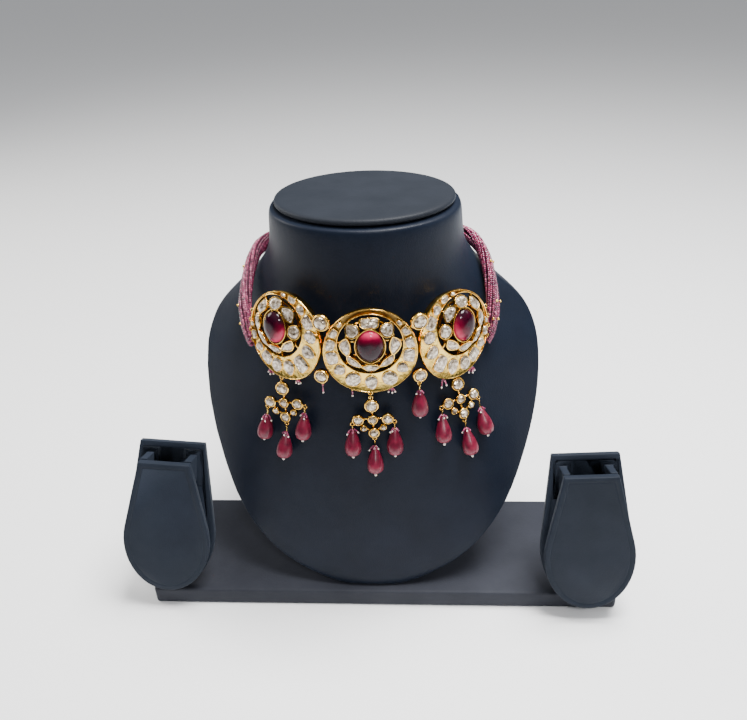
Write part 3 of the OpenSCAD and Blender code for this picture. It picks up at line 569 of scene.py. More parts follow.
# %% [markdown]
# ## Places of the jewellery
#
# The frame already holds every setting, so its place is read there and not
# typed again. The stones are symmetric in their own plane: their middle, seen
# along that plane, is where the setting's middle lies, and their highest point
# tells how far the plane is from it. A drop is a round body, so the line through
# its vertices' longest spread is its axis.

# %% Places
def points_of(node):
    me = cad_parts[node].data
    co = np.empty(len(me.vertices) * 3)
    me.vertices.foreach_get("co", co)
    return np.unique(np.round(co.reshape(-1, 3) / MM, 4), axis=0)


def seat_of(node, turn, tilt=0.0, spin=0.0):
    """Middle and highest point of a node, in its own turned plane."""
    way = placed((0, 0, 0), turn, tilt, 1) @ spun(spin)
    own = points_of(node) @ np.array(way.to_3x3())
    low, high = own.min(axis=0), own.max(axis=0)
    return Matrix.Scale(MM, 4) @ way @ shifted((low[0] + high[0]) / 2, (low[1] + high[1]) / 2, high[2])


def line_of(node):
    """Foot, top and direction of a long round node."""
    pts = points_of(node)
    rough = pts.mean(axis=0)
    axis = np.linalg.svd(pts - rough)[2][0]
    axis = axis * np.sign(axis[2])
    side_a = np.cross(axis, (0, 1, 0.1))
    side_a /= np.linalg.norm(side_a)
    side_b = np.cross(axis, side_a)
    own = (pts - rough) @ np.array([side_a, side_b, axis]).T
    mid = (own.min(axis=0) + own.max(axis=0)) / 2
    middle = rough + mid[0] * side_a + mid[1] * side_b
    foot, top = own[:, 2].min(), own[:, 2].max()
    return Vector(middle + foot * axis), Vector(middle + top * axis), Vector(axis)


RUBY_TOP, STONE_TOP = 5.4, 0.86
turns = {"center": 3.8, "left": -33.5, "right": 41.1}
leans = {"center": 0, "left": 8, "right": 8}
flowers = {"center": (0, 4.0), "left": (-4.1, 4.24), "right": (4.1, 4.24)}
crescents = {"center": 0, "left": 44, "right": -44}
discs = {k: seat_of(f"{k}_ruby", turns[k], leans[k]) @ shifted(-flowers[k][0], -flowers[k][1], -RUBY_TOP)
         for k in turns}
LINK_T, PENDANT_T = 3.0, 2.4
link_turns = {"left": turns["center"] - 18.65, "right": turns["center"] + 18.65}
links = {f"{level}_{side}": seat_of(f"{level}_{side}_link_stone", link_turns[side])
         @ shifted(0, 0, -STONE_TOP - LINK_T) for level in ("upper", "lower") for side in link_turns}
hang_turns = {"center": (1.6, -1, 2.5), "left": (-15, 5, 3), "right": (27, 15.38, 5)}
pendants = {k: seat_of(f"{k}_pendant_stones", *t) @ shifted(0, -0.45, -STONE_TOP - PENDANT_T / 2)
            for k, t in hang_turns.items()}
for name, m in [*discs.items(), *links.items(), *pendants.items()]:
    print(name, [round(v, 2) for v in m.translation / MM - neck])

# %% [markdown]
# ## Small models
#
# A setting, a stone or a drop is drawn once in millimetres, flat on the bench,
# and copied to its places. Round ones are spun from half an outline, as on a
# lathe. The cups round the other stones are pushed up from their outline, inset
# by the wall and pushed down again, and stones are pushed up in narrowing
# steps, then shaken a little, because polki are cut by hand.

# %% Lathe, cups and stones
rng = random.Random(20)


def turned(outline, steps, angle=40):
    """Spins an open outline of radius and height about Z."""
    obj = built("model", [(r, 0, z) for r, z in outline], [], [(i, i + 1) for i in range(len(outline) - 1)])
    with editing(obj):
        bpy.ops.mesh.spin(steps=steps, angle=math.tau, center=(0, 0, 0), axis=(0, 0, 1))
        bpy.ops.mesh.select_all(action="SELECT")
        bpy.ops.mesh.remove_doubles(threshold=1e-4)
        bpy.ops.mesh.normals_make_consistent(inside=False)
    return smooth(obj, angle)


def hoop(radius, wire, around=24, across=8):
    bpy.ops.mesh.primitive_torus_add(major_radius=radius, minor_radius=wire / 2,
                                     major_segments=around, minor_segments=across)
    return smooth(bpy.context.object, 180)


def gem_outline(shape, w, l, n=14):
    """Points round a stone. X is its way outward, and its point is there if it has one."""
    points = []
    for i in range(n):
        c, s = math.cos(math.tau * i / n), math.sin(math.tau * i / n)
        if shape == "pear":
            s *= 1 - 0.42 * ((c + 1) / 2) ** 1.5
        elif shape == "marquise":
            c *= abs(c) ** 0.75
        elif shape == "block":
            c, s = (math.copysign(abs(v) ** 0.55, v) for v in (c, s))
            s *= 1 + 0.10 * c
        elif shape == "point":
            s *= 1 + 0.06 * abs(s) ** 8
        points.append((w / 2 * c, l / 2 * s))
    return points


def cup(points, foot, height, wall, depth, foot_size=1.0):
    """A solid setting from its foot up, with a recess for one stone."""
    obj = laid(points)
    obj.data.transform(Matrix.Diagonal((foot_size, foot_size, 1, 1)))
    with editing(obj):
        for part, size in ((0.45, 1 / foot_size), (0.55, 1)):
            bpy.ops.mesh.extrude_region_move(TRANSFORM_OT_translate={"value": (0, 0, height * part)})
            bpy.ops.transform.resize(value=(size, size, 1), center_override=(0, 0, 0))
        bpy.ops.mesh.inset(thickness=wall)
        bpy.ops.mesh.extrude_region_move(TRANSFORM_OT_translate={"value": (0, 0, -depth)})
    obj.data.transform(shifted(0, 0, foot))
    outward(obj)
    rounded(obj, wall * 0.3, 2, 50)
    return smooth(obj, 50)


def stone(points, foot, crown, table=0.62, shake=0.05):
    """A flat-cut stone: girdle, sloped crown in two steps, and a table."""
    obj = pushed(laid(points), [(0.55, 1.0), (0.55 + crown * 0.6, 0.86), (0.55 + crown, table)])
    size = max(obj.dimensions[:2])
    for v in obj.data.vertices:
        if v.co.z > 0.6:
            v.co += Vector([rng.uniform(-shake, shake) * size * k for k in (0.5, 0.5, 0.25)])
    obj.data.transform(shifted(0, 0, foot))
    return obj


def put(obj, matrix):
    obj.data.transform(matrix)
    return obj


def mounted(parts, name, place):
    """Joins its parts into one piece and puts it in its place."""
    return put(joined(parts, name), place)


def leaning(most):
    """A small random tilt, so that no two stones catch the light alike."""
    return spun(rng.uniform(-most, most), "X") @ spun(rng.uniform(-most, most), "Y")


print("bench has lathe, cups and stones")

# %% [markdown]
# ## Medallions
#
# Each medallion is a round drum with an opening off its middle, which leaves a
# crescent. The two circles have different middles, so the crescent can't be
# spun. Its section is therefore laid along rays from the opening's middle: from
# the back, up the inner wall, over a thin rim, across the floor, over the outer
# rim and down the double step of the outer wall.

# %% Crescent drums
DISC_R, OPEN_R, DRUM, RIM = 22.0, 15.15, 4.6, 0.5
section = [("in", 0.0, -DRUM), ("in", 0.0, -0.9), ("in", 0.0, -0.3), ("in", 0.12, -0.06), ("in", 0.3, 0.0),
           ("in", 0.44, -0.07), ("in", RIM, -0.16), ("in", RIM + 0.06, "floor"), ("mid", 0.0, "floor"),
           ("out", RIM + 0.06, "floor"), ("out", RIM, -0.16), ("out", 0.42, -0.06), ("out", 0.26, 0.0),
           ("out", 0.1, -0.07), ("out", 0.0, -0.3), ("out", -0.02, -1.0), ("out", 0.0, -1.75),
           ("out", 0.12, -2.02), ("out", 0.5, -2.1), ("out", 0.95, -2.16), ("out", 1.0, -2.5),
           ("out", 1.0, -4.3), ("out", 1.2, -DRUM)]


def floor_at(flower, a):
    """Height of the crescent's floor: nearly flush where it is thick, sunk at its horns."""
    from_thick = abs((math.degrees(a) - math.degrees(math.atan2(-flower[1], -flower[0])) + 180) % 360 - 180)
    return float(np.interp(from_thick, (60, 100, 128, 150), (-0.2, -1.0, -1.2, -2.1)))


def reach(along, far, r):
    """Length of a ray up to a circle of radius r, whose middle is far off and abreast of the ray at along."""
    return along + math.sqrt(along * along - far * far + r * r)


def crescent_drum(flower, around=128):
    fx, fy = flower
    far = math.hypot(fx, fy)
    points = []
    for i in range(around):
        a = math.tau * i / around
        ray = Vector((math.cos(a), math.sin(a)))
        along = -(fx * ray.x + fy * ray.y)
        width = reach(along, far, DISC_R) - OPEN_R
        share = min(1.0, 0.46 * width / (RIM + 0.06))
        for edge, off, z in section:
            z = floor_at(flower, a) if z == "floor" else z
            if edge == "in":
                r = OPEN_R + off * share
            elif edge == "mid":
                r = (OPEN_R + reach(along, far, DISC_R)) / 2
            else:
                r = reach(along, far, DISC_R - (off * share if z >= -1 else off))
            if z < -1 and edge == "out":
                r = max(r, OPEN_R + 0.25)
            points.append((fx + r * ray.x, fy + r * ray.y, z))
    obj = smooth(outward(built("drum", points, skin_of(around, len(section), True))), 40)
    for finish in (gold, foil, painted_shade_gold):
        obj.data.materials.append(finish)
    # Floor faces that face out get the foil, and the deepest of them the darker gold, as painted shade.
    for face in obj.data.polygons:
        if face.normal.z > 0.9 and face.area > 0.3 and face.center.z < -0.15:
            face.material_index = 1 if face.center.z > -0.9 else 2
    return obj


def inner_reach(flower, a):
    """Distance from the medallion's middle to the opening's edge, at an angle from the widest place."""
    far = math.hypot(*flower)
    return reach(-far * math.cos(a), far, OPEN_R)


drums = {k: crescent_drum(flowers[k]) for k in discs}
print("drum faces", {k: len(d.data.polygons) for k, d in drums.items()})

# %% [markdown]
# The crescent's stones are the widest at its thick part and shrink towards its
# horns. On the middle medallion they are pears and rounds at the bottom and
# squared stones up the sides. On the outer two they are longer and stand closer.
# A thin gold wall is burnished over the edge of each.

# %% Crescent stones
GREATEST = DISC_R - OPEN_R + 4.0
CUP_FOOT = 2.6
crescent_set = [(0, 0.70), (31, 0.74), (59, 0.64), (82, 0.66), (103, 0.56), (122, 0.44), (137, 0.28)]
cuts = {"center": ["pear", "round", "pear", "block", "block", "block", "round"],
        "left": ["block", "pear", "round", "block", "pear", "block", "round"]}
cuts["right"] = cuts["left"]
# The most that each may reach across the crescent
stone_widths = {"center": [7.8, 7.8, 6.0, 6.0, 4.8, 4.0, 2.4], "left": [8.8, 8.4, 7.8, 6.6, 5.2, 4.0, 2.4]}
stone_widths["right"] = stone_widths["left"]
walls, crescent_gems = {}, {}
for k in discs:
    walls[k], crescent_gems[k] = [], []
    for (a, share), cut, widest in zip(crescent_set, cuts[k], stone_widths[k]):
        inner = inner_reach(flowers[k], math.radians(a))
        w = min(0.94 * (DISC_R - inner - 2 * RIM), widest)
        l = share * GREATEST
        if w < 1.1:
            continue
        for s in ((1,) if a == 0 else (-1, 1)):
            where = (spun(crescents[k] + s * a - 90) @ shifted((DISC_R + inner) / 2, 0, 0)
                     @ spun(rng.uniform(-4, 4)))
            grow = min(0.7, 0.12 * w + 0.25)
            top = 0.14 if a < 70 else 0.02
            wall = cup(gem_outline(cut, w, l, 20), -CUP_FOOT, CUP_FOOT + top, grow / 2, 0.32)
            walls[k].append(put(wall, where))
            gem = stone(gem_outline(cut, w - grow * 0.8, l - grow * 0.8, 14), top - 0.52, 0.5)
            crescent_gems[k].append(put(gem, where @ leaning(4)))
print("crescent stones", {k: len(v) for k, v in crescent_gems.items()})

# %% [markdown]
# Eight petals ring the ruby. Each is a stone in a deep cup that slopes outward,
# and the cups stand on a thin ring with a bar to the drum under each, so that
# the dark bust shows through between them. Their stones differ: long pointed
# ones above and below, and rounder ones at the upper corners.

# %% Petals
PETAL_R, PETAL_UP, PETAL_SLOPE, BAR_FROM = 11.3, 0.9, 26, 6.2
under_ring = [(10.8, -4.2), (11.7, -4.2), (11.9, -3.6), (11.8, -2.6), (11.3, -2.4), (10.8, -2.6),
              (10.7, -3.6), (10.8, -4.2)]
long_petal, low_petal = ("marquise", 5.4, 9.6), ("marquise", 5.2, 9.8)
side_petal, corner_petal = ("marquise", 6.2, 9.8), ("pear", 7.4, 8.2)
# Each flower starts at its right side and goes round by its top.
petal_cuts = {
    "center": [side_petal, corner_petal, ("block", 5.2, 9.2), corner_petal,
               side_petal, low_petal, ("marquise", 5.6, 8.6), low_petal],
    "left": [("round", 6.6, 7.6), ("marquise", 6.2, 9.6), ("round", 6.6, 7.8), ("block", 5.6, 8.2),
             ("marquise", 6.0, 9.4), long_petal, long_petal, long_petal],
    "right": [("marquise", 6.0, 9.4), ("block", 5.6, 8.2), ("round", 6.6, 7.8), ("marquise", 6.2, 9.6),
              ("round", 6.6, 7.6), long_petal, long_petal, long_petal]}
petal_gold, petal_gems = {}, {}
for k in discs:
    petal_gold[k], petal_gems[k] = [], []
    flower = shifted(*flowers[k], 0)
    for i, (cut, w, l) in enumerate(petal_cuts[k]):
        where = (flower @ spun(45 * i) @ shifted(PETAL_R, 0, PETAL_UP)
                 @ spun(PETAL_SLOPE + rng.uniform(-3, 3), "Y"))
        points = gem_outline(cut, w, l, 18)
        # A petal's long sides follow the ring, so its ends bend inward.
        points = [(x - 0.045 * y * y if cut == "marquise" else x, y) for x, y in points]
        petal_gold[k].append(put(cup(points, -1.7, 2.5, 0.45, 0.6, 0.6), where))
        petal_gems[k].append(put(stone([(0.82 * x, 0.84 * y) for x, y in points], 0.12, 0.75, 0.5),
                                 where @ leaning(3)))
    petal_gold[k].append(put(turned(under_ring, 48), flower))
    for i in range(8):
        bpy.ops.mesh.primitive_cube_add(size=1, location=(0, 0, 0))
        bar = bpy.context.object
        bar.data.transform(Matrix.Diagonal((OPEN_R - BAR_FROM, 0.9, 0.8, 1)))
        rounded(bar, 0.2, 2)
        petal_gold[k].append(put(smooth(bar, 40), flower @ spun(45 * i)
                                 @ shifted((OPEN_R + BAR_FROM) / 2 + 0.3, 0, -3.8)))
print("petals", {k: len(v) for k, v in petal_gems.items()})

# %% [markdown]
# In the middle stands the ruby, a high oval with a faint point above and below,
# held by a plain gold wall. It is pushed up in narrowing steps and subdivided,
# which domes it. Its tone rises towards one edge, painted light for where the
# light leaves it.

# %% Rubies
RUBY_W, RUBY_L, BEZEL_UP, BEZEL_DOWN = 13.4, 15.8, 2.2, 4.2
# The way toward the edge of each stone that is painted pale, as painted light where light leaves it, and
# where that edge starts
painted_light_edges = {"center": (0.05, 1.0, 5.5), "left": (0.75, -0.65, 4.4), "right": (-0.8, -0.35, 4.0)}
for k, disc in discs.items():
    place = disc @ shifted(*flowers[k], 0)
    gem = pushed(laid(gem_outline("point", RUBY_W - 0.3, RUBY_L - 0.3, 24)),
                 [(2.75, 1.0), (3.55, 0.955), (4.5, 0.85), (5.3, 0.68), (5.85, 0.46), (6.05, 0.26)])
    put(gem, shifted(0, 0, -0.66))
    gem = joined([gem], f"{k}_ruby_cabochon")
    subdivided(gem, 1)
    gx, gy, edge = painted_light_edges[k]
    painted_light = [0.5 + 0.5 * math.tanh(0.42 * (v.co.x * gx + v.co.y * gy - edge)) for v in gem.data.vertices]
    toned(gem, painted_light)
    wear(put(smooth(gem, 25), place), ruby, "ruby", f"{k}_ruby")
bezels = {k: put(cup(gem_outline("point", RUBY_W + 1.1, RUBY_L + 1.1, 48), -BEZEL_DOWN,
                     BEZEL_DOWN + BEZEL_UP, 0.42, 1.7, 0.9), shifted(*flowers[k], 0)) for k in discs}
print("rubies", 3)

# %% [markdown]
# Everything that is soldered is one piece of gold, so drum, walls, cups, bars,
# the ruby's wall, the loop under the drum and the eyelets for the strands are
# joined. The stones of one medallion become two pieces, ring and petals.

# %% Medallions put together
RING_R, WIRE, RING_GAP = 0.95, 0.5, 0.8
loop_spots = {"center": (-2, DISC_R + RING_GAP, -1.05), "left": (-6, DISC_R + RING_GAP, -1.05),
              "right": (3, DISC_R - 1 + RING_GAP, -4.15)}
for k, disc in discs.items():
    small = [hoop(RING_R, WIRE)]
    a, r, z = loop_spots[k]
    put(small[0], spun(a - 90) @ shifted(r, 0, z))
    if k != "center":
        for i in range(4):
            turn_at = 200 - 13 * i if k == "left" else -20 + 13 * i
            small.append(put(hoop(RING_R, WIRE), spun(turn_at) @ shifted(DISC_R + RING_GAP, 0, -1.05)))
    for part in (bezels[k], *walls[k], *petal_gold[k], *small):
        part.data.materials.append(gold)
    metal = mounted([drums[k], bezels[k], *walls[k], *petal_gold[k], *small], f"{k}_medallion_gold", disc)
    wear(metal, None, "gold", f"{k}_medallion")
    for gems, part in ((crescent_gems[k], "crescent"), (petal_gems[k], "petal")):
        wear(mounted(gems, f"{k}_{part}_polki", disc), polki, "polki", f"{k}_{part}_stones")
    print(k, "gold faces", len(metal.data.polygons))

# %% [markdown]
# ## Links and pendants
#
# Round stones sit in turned collets with a rolled lip. Four of them link the
# medallions, and seven of rising size make each pendant, with short bars
# soldered between and a small wire ring for each ruby drop.

# %% Collets
def collet(d, t):
    r = d / 2
    lip = 0.3 + 0.07 * d
    return turned([(0, 0), (r * 0.72, 0), (r * 0.9, 0.25), (r * 0.985, t * 0.45), (r, t * 0.7),
                   (r * 0.985, t * 0.88), (r - lip * 0.35, t + 0.02), (r - lip * 0.6, t + 0.08),
                   (r - lip * 0.85, t + 0.02), (r - lip, t - 0.15), (r - lip, t * 0.6), (0, t * 0.55)], 32)


def dome_stone(d, t):
    w = d - 2 * (0.28 + 0.07 * d)
    return stone(gem_outline("round", w, w, 12), t * 0.6, t * 0.4 + 0.1 + 0.04 * d, 0.5, 0.05)


link_sizes = {"upper": 8.4, "lower": 7.2}
EAR_ANGLE = 33.4
for name, place in links.items():
    level, side = name.split("_")
    d = link_sizes[level]
    metal = [collet(d, LINK_T)]
    if level == "upper":
        for s in (1, -1):
            ear = turned([(0, 0), (0.5, 0), (0.55, 0.2), (0.55, 0.9), (0.45, 1.1), (0, 1.1)], 16)
            metal.append(put(ear, spun(-s * EAR_ANGLE) @ shifted(s * (d / 2 - 0.2), 0, LINK_T / 2 - 0.55)))
    if name == "lower_right":
        metal.append(put(hoop(RING_R, WIRE), shifted(0, -d / 2 - RING_GAP, LINK_T / 2)))
    wear(mounted(metal, f"{name}_collet", place), gold, "gold", f"{name}_link")
    wear(mounted([dome_stone(d, LINK_T)], f"{name}_polki", place), polki, "polki", f"{name}_link_stone")
print("links", len(links))

# %% Pendants
# Distances of the settings from the middle one, and their diameters
ROW, UP, LOW, TOP_D, ROW_D, LOW_D = 7.3, 8.1, 7.9, 7.2, 6.0, 5.8
settings = [(0, UP, TOP_D), (-ROW, 0, ROW_D), (0, 0, 5.3), (ROW, 0, ROW_D), (0, -LOW, LOW_D),
            (-0.66 * ROW, -0.62 * LOW, 3.7), (0.66 * ROW, -0.62 * LOW, 3.7)]
bars = [(0, 2), (1, 2), (2, 3), (2, 4), (1, 5), (5, 4), (3, 6), (6, 4)]
ring_falls = {"center": (40, 35), "left": (55, 20), "right": (15, 50)}
rings = {}
for k, place in pendants.items():
    metal = [put(collet(d, PENDANT_T), shifted(x, y, -PENDANT_T / 2)) for x, y, d in settings]
    for p, q in bars:
        (px, py, pd), (qx, qy, qd) = settings[p], settings[q]
        run = math.hypot(qx - px, qy - py)
        bpy.ops.mesh.primitive_cylinder_add(vertices=10, radius=0.5, depth=run - (pd + qd) / 2 + 1.0)
        bar = rounded(bpy.context.object, 0.15, 1)
        middle = pd / 2 + (run - (pd + qd) / 2) / 2
        put(bar, shifted(px, py, -0.45) @ spun(math.degrees(math.atan2(qy - py, qx - px)))
            @ shifted(middle, 0, 0) @ spun(90, "Y"))
        metal.append(smooth(bar, 40))
    r = ROW_D / 2 + RING_GAP
    left_a, right_a = (math.radians(a) for a in ring_falls[k])
    rings[k] = [(-ROW - r * math.cos(left_a), -r * math.sin(left_a)), (0, -LOW - LOW_D / 2 - RING_GAP),
                (ROW + r * math.cos(right_a), -r * math.sin(right_a))]
    metal += [put(hoop(RING_R, WIRE), shifted(x, y, 0)) for x, y in rings[k]]
    top_ring = hoop(RING_R, WIRE)
    if k != "center":
        top_ring.data.transform(spun(90, "Y"))
    metal.append(put(top_ring, shifted(0, UP + TOP_D / 2 + RING_GAP, 0)))
    wear(mounted(metal, f"{k}_pendant_gold", place), gold, "gold", f"{k}_pendant")
    gems = [put(dome_stone(d, PENDANT_T), shifted(x, y, -PENDANT_T / 2) @ leaning(3))
            for x, y, d in settings]
    wear(mounted(gems, f"{k}_pendant_polki", place), polki, "polki", f"{k}_pendant_stones")
low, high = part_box("center_jump_ring")
jump_at = placed((low + high) / 2 / MM, *hang_turns["center"][:2]) @ spun(90, "Y")
wear(mounted([hoop(1.35, WIRE, 28)], "center_jump_wire", jump_at), gold, "gold", "center_jump_ring")
print("pendants", len(pendants))

# %% [markdown]
# ## Ruby drops
#
# The drops are carved beads with soft upright ribs, drilled from end to end for
# a gold pin. A pin starts in a loop round the pendant's ring, and ends in a
# seed pearl under the drop. One drop is spun, its ribs are pressed in, and each
# place in the frame gets a copy along the axis that was read there.

# %% Drops
DROP_H, DROP_R, BORE, PIN = 13.6, 4.1, 0.4, 0.45
# Height up the drop and radius, as shares of the whole
drop_outline = [(0.0, 0.2), (0.01, 0.38), (0.03, 0.56), (0.07, 0.76), (0.12, 0.88), (0.19, 0.96),
                (0.27, 1.0), (0.36, 0.99), (0.45, 0.94), (0.54, 0.87), (0.63, 0.77), (0.72, 0.66),
                (0.8, 0.55), (0.88, 0.44), (0.94, 0.35), (0.98, 0.27), (1.0, 0.17)]
drop_shape = turned([(BORE, 0.05)] + [(max(r * DROP_R, BORE + 0.1), DROP_H * z) for z, r in drop_outline]
                    + [(BORE, DROP_H)], 36, 60)
for v in drop_shape.data.vertices:
    belly = max(0, math.sin(math.pi * min(max(v.co.z / DROP_H, 0), 1))) ** 0.6
    rib = belly * math.cos(8 * math.atan2(v.co.y, v.co.x))
    v.co.x *= 0.985 + 0.018 * rib
    v.co.y *= 0.985 + 0.018 * rib


def stood(foot, axis, level):
    """A matrix with its Z along a drop, its X near the given direction and its origin at the foot."""
    x = (level - axis * level.dot(axis)).normalized()
    return (Matrix.Translation(foot * MM)
            @ Matrix((x, axis.cross(x), axis)).transposed().to_4x4() @ Matrix.Scale(MM, 4))


drop_nodes = {f"{k}_drop_{s}": (k, i) for k in discs for i, s in enumerate(("left", "middle", "right"))}
drop_nodes["link_drop"] = ("link", 0)
# Height up each drop, which its finish reads to paint the lower part paler as painted light.
heights = [v.co.z / DROP_H for v in drop_shape.data.vertices]
under_link = link_sizes["lower"] / 2
drops, rises = {}, {}
for node, (k, i) in drop_nodes.items():
    foot, top, axis = line_of(node)
    level = (links["lower_right"] if k == "link" else pendants[k]).to_3x3().col[0].normalized()
    drops[node] = stood(foot, axis, level)
    if k == "link":
        ring_middle = links["lower_right"] @ Vector((0, -under_link - RING_GAP, LINK_T / 2)) / MM
    else:
        ring_middle = pendants[k] @ Vector((*rings[k][i], 0)) / MM
    rises[node] = (ring_middle - top).length - 2 * RING_R + (WIRE + PIN) / 2 + 0.12
    carved = set_out(drop_shape, [drops[node]], f"{node}_bead")
    toned(carved, heights)
    wear(carved, drop_ruby, "ruby", node)
    print(node, "pin over the drop", round(rises[node], 2), "mm")
drop_model(drop_shape)

# %% [markdown]
# Each pin is a straight wire with a loop at its top and a seed pearl on its
# foot. The loop stands across the ring that it hangs from. All pins of one
# pendant are one piece of gold, and the pearls are another.

# %% Pins and their pearls
ball = turned([(0, -0.78), (0.34, -0.7), (0.62, -0.42), (0.74, 0), (0.62, 0.42), (0.34, 0.68),
               (0, 0.74)], 14, 80)
pin_pearls = []
for k, pin_node in [*((k, f"{k}_drop_pins") for k in discs), ("link", "link_drop_pin")]:
    parts = []
    for node in (node for node, (owner, _) in drop_nodes.items() if owner == k):
        rise = rises[node]
        loop_r = RING_R - 0.05
        wire_top = DROP_H + rise - loop_r
        wire = turned([(0, -0.9), (PIN / 2, -0.9), (PIN / 2, wire_top), (0, wire_top)], 10)
        cap_bead = turned([(0.26, DROP_H + 0.05), (0.62, DROP_H + 0.15), (0.72, DROP_H + 0.45),
                           (0.5, DROP_H + 0.78), (0.26, DROP_H + 0.8)], 14, 60)
        loop = put(hoop(loop_r, PIN, 20), shifted(0, 0, DROP_H + rise) @ spun(90, "Y"))
        parts += [put(o, drops[node]) for o in (wire, cap_bead, loop)]
        pin_pearls.append(drops[node] @ shifted(0, 0, -0.72))
    wear(joined(parts, f"{k}_pins_gold"), gold, "gold", pin_node)
wear(set_out(ball, pin_pearls, "drop_pearls"), pearl, "polki")
print("pins", len(pin_pearls))

# %% [markdown]
# ## Tassels
#
# Short strings of seed beads hang from the pins and from the medallions, and
# each ends in a seed pearl. A string leaves its place sideways and bends down
# under its own weight, so its beads lie along a short curve.

# %% Tassels
def tube_bead(half, neck_at, end_r, neck_r, belly_r, angle):
    """A drilled bead, drawn up its outside and back down its bore."""
    bore = 0.1
    side = [(end_r, -half), (neck_r, -neck_at), (belly_r, 0), (neck_r, neck_at), (end_r, half)]
    return turned([(bore, -half), *side, (bore, half), (bore, -half)], 8, angle)


seed = tube_bead(0.36, 0.17, 0.34, 0.47, 0.5, 80)
bugle = tube_bead(0.78, 0.62, 0.3, 0.37, 0.38, 60)
gold_seed = turned([(0.1, -0.5), (0.4, -0.45), (0.62, 0), (0.4, 0.45), (0.1, 0.5), (0.1, -0.5)], 12, 60)
# A string is written as letters: s a seed bead, b a bugle, p a pearl, g gold.
bead_lengths = {"s": 0.74, "b": 1.56, "p": 1.15, "g": 1.1}
bead_places = {kind: [] for kind in bead_lengths}
DOWN = Vector((0, 0, -1))


def along_way(at, way):
    """A matrix at a point, with Z along a direction."""
    return (Matrix.Translation(at * MM) @ way.to_track_quat("Z", "Y").to_matrix().to_4x4()
            @ Matrix.Scale(MM, 4))


def string_down(start, side, spread, kinds):
    """Threads beads from a start, first sideways by the spread and then down."""
    at, way = start.copy(), (side * spread + DOWN * 0.35).normalized()
    for kind in kinds:
        length = bead_lengths[kind]
        way = (way + DOWN * 0.36 * length).normalized()
        at += way * length / 2
        bead_places[kind].append(along_way(at, way))
        at += way * length / 2


for node, m in drops.items():
    top = m @ Vector((0, 0, DROP_H + 0.75)) / MM
    right, front = m.to_3x3().col[0].normalized(), m.to_3x3().col[1].normalized()
    if front.y > 0:
        front = -front
    base = rng.uniform(-12, 12)
    for angle in (-66, -8, 58):
        a = math.radians(angle + base + rng.uniform(-18, 18))
        side = (right * math.sin(a) + front * math.cos(a)).normalized()
        spread = rng.uniform(0.7, 1.3) + (1.8 if rng.random() < 0.3 else 0)
        string_down(top + side * 0.55, side, spread, rng.choice(("bsp", "ssp", "bbp", "sbp", "bp", "bs")))
# Medallion, angle from its lowest point, number of strings, beads of each
tassel_spots = [("center", -25, 1, "gbsp"), ("center", 25, 3, "bsp"), ("left", -25, 3, "bsp"),
                ("left", 22, 4, "bp"), ("right", -26, 2, "bsbp"), ("right", 25, 3, "bssp")]
for k, angle, count, kinds in tassel_spots:
    a = math.radians(angle)
    start = discs[k] @ Vector((math.sin(a) * (DISC_R + 0.1), -math.cos(a) * (DISC_R + 0.1), -1.2)) / MM
    right, front = (discs[k].to_3x3().col[i].normalized() for i in (0, 2))
    for i in range(count):
        b = math.radians((i - (count - 1) / 2) * 55 + rng.uniform(-8, 8))
        side = right * math.sin(b) + front * math.cos(b) * 0.45
        string_down(start, side, 0.1 if count == 1 else rng.uniform(0.7, 1.1), kinds)
start = links["lower_left"] @ Vector((0, -under_link - 0.1, LINK_T / 2)) / MM
string_down(start, Vector((0, -1, 0)), 0.05, "gsbbp")
for model, kind, name in ((seed, "s", "tassel_seeds"), (bugle, "b", "tassel_bugles")):
    places = bead_places[kind]
    wear(set_out(model, places, name, [rng.uniform(0.3, 0.85) for _ in places]), garnet, "garnet_beads")
wear(set_out(ball, [m @ Matrix.Scale(0.62, 4) for m in bead_places["p"]], "tassel_pearls"), pearl, "polki")
wear(set_out(gold_seed, bead_places["g"], "tassel_gold"), gold, "gold")
print("tassel beads", {kind: len(places) for kind, places in bead_places.items()})

# %% [markdown]
# ## The bead bundles
#
# From each outer medallion a thick bundle of garnet strands runs up over the
# side of the neck and round its back. A smooth middle line is laid first: a
# Bezier curve from the medallion's rim to the side of the neck, then a line
# that follows the neck. About seventeen strands lie side by side round this
# line, and they turn slowly round it. A strand starts only where the bundle is
# thick enough to hold it, so the bundle tapers towards its foot.

# %% Middle lines of the bundles
BACK_Z, SIDE_Z, SIDE_ANGLE, BUNDLE_T, BUNDLE_W = 175.0, 179.0, 84.0, 5.2, 9.0
# Half width and widest line of the neck at two heights, and half its depth
NECK_LOW, NECK_HIGH, NECK_BACK = (173.0, 55.7, 1.82), (181.0, 50.2, 0.59), 43.0
END_ANGLE = math.degrees(math.asin(7.4 / 54.3))
BACK_POWER = 2.2


def neck_route(s, a):
    """Point of the bundle's middle line behind the neck, at an angle from straight behind."""
    z = BACK_Z + (SIDE_Z - BACK_Z) * a / SIDE_ANGLE
    up = (z - NECK_LOW[0]) / (NECK_HIGH[0] - NECK_LOW[0])
    rx, wide = (NECK_LOW[i] + (NECK_HIGH[i] - NECK_LOW[i]) * up for i in (1, 2))
    ry = NECK_BACK - wide
    sa, ca = math.sin(math.radians(a)), math.cos(math.radians(a))
    way = Vector((2 * sa / rx, BACK_POWER * ca ** (2 - 2 / BACK_POWER) / ry)).normalized()
    off = BUNDLE_T / 2 + 0.4 + 1.6 * (a / SIDE_ANGLE) ** 2
    return neck + Vector((s * (rx * sa + off * way.x), wide + ry * ca ** (2 / BACK_POWER) + off * way.y, z))


START_R, START_ANGLE = 25.9, math.radians(28)
guides = {-1: ((-7, 4, 14), (-4, -11, -1.2)), 1: ((6, 3.5, 12), (5, -11, -1.2))}


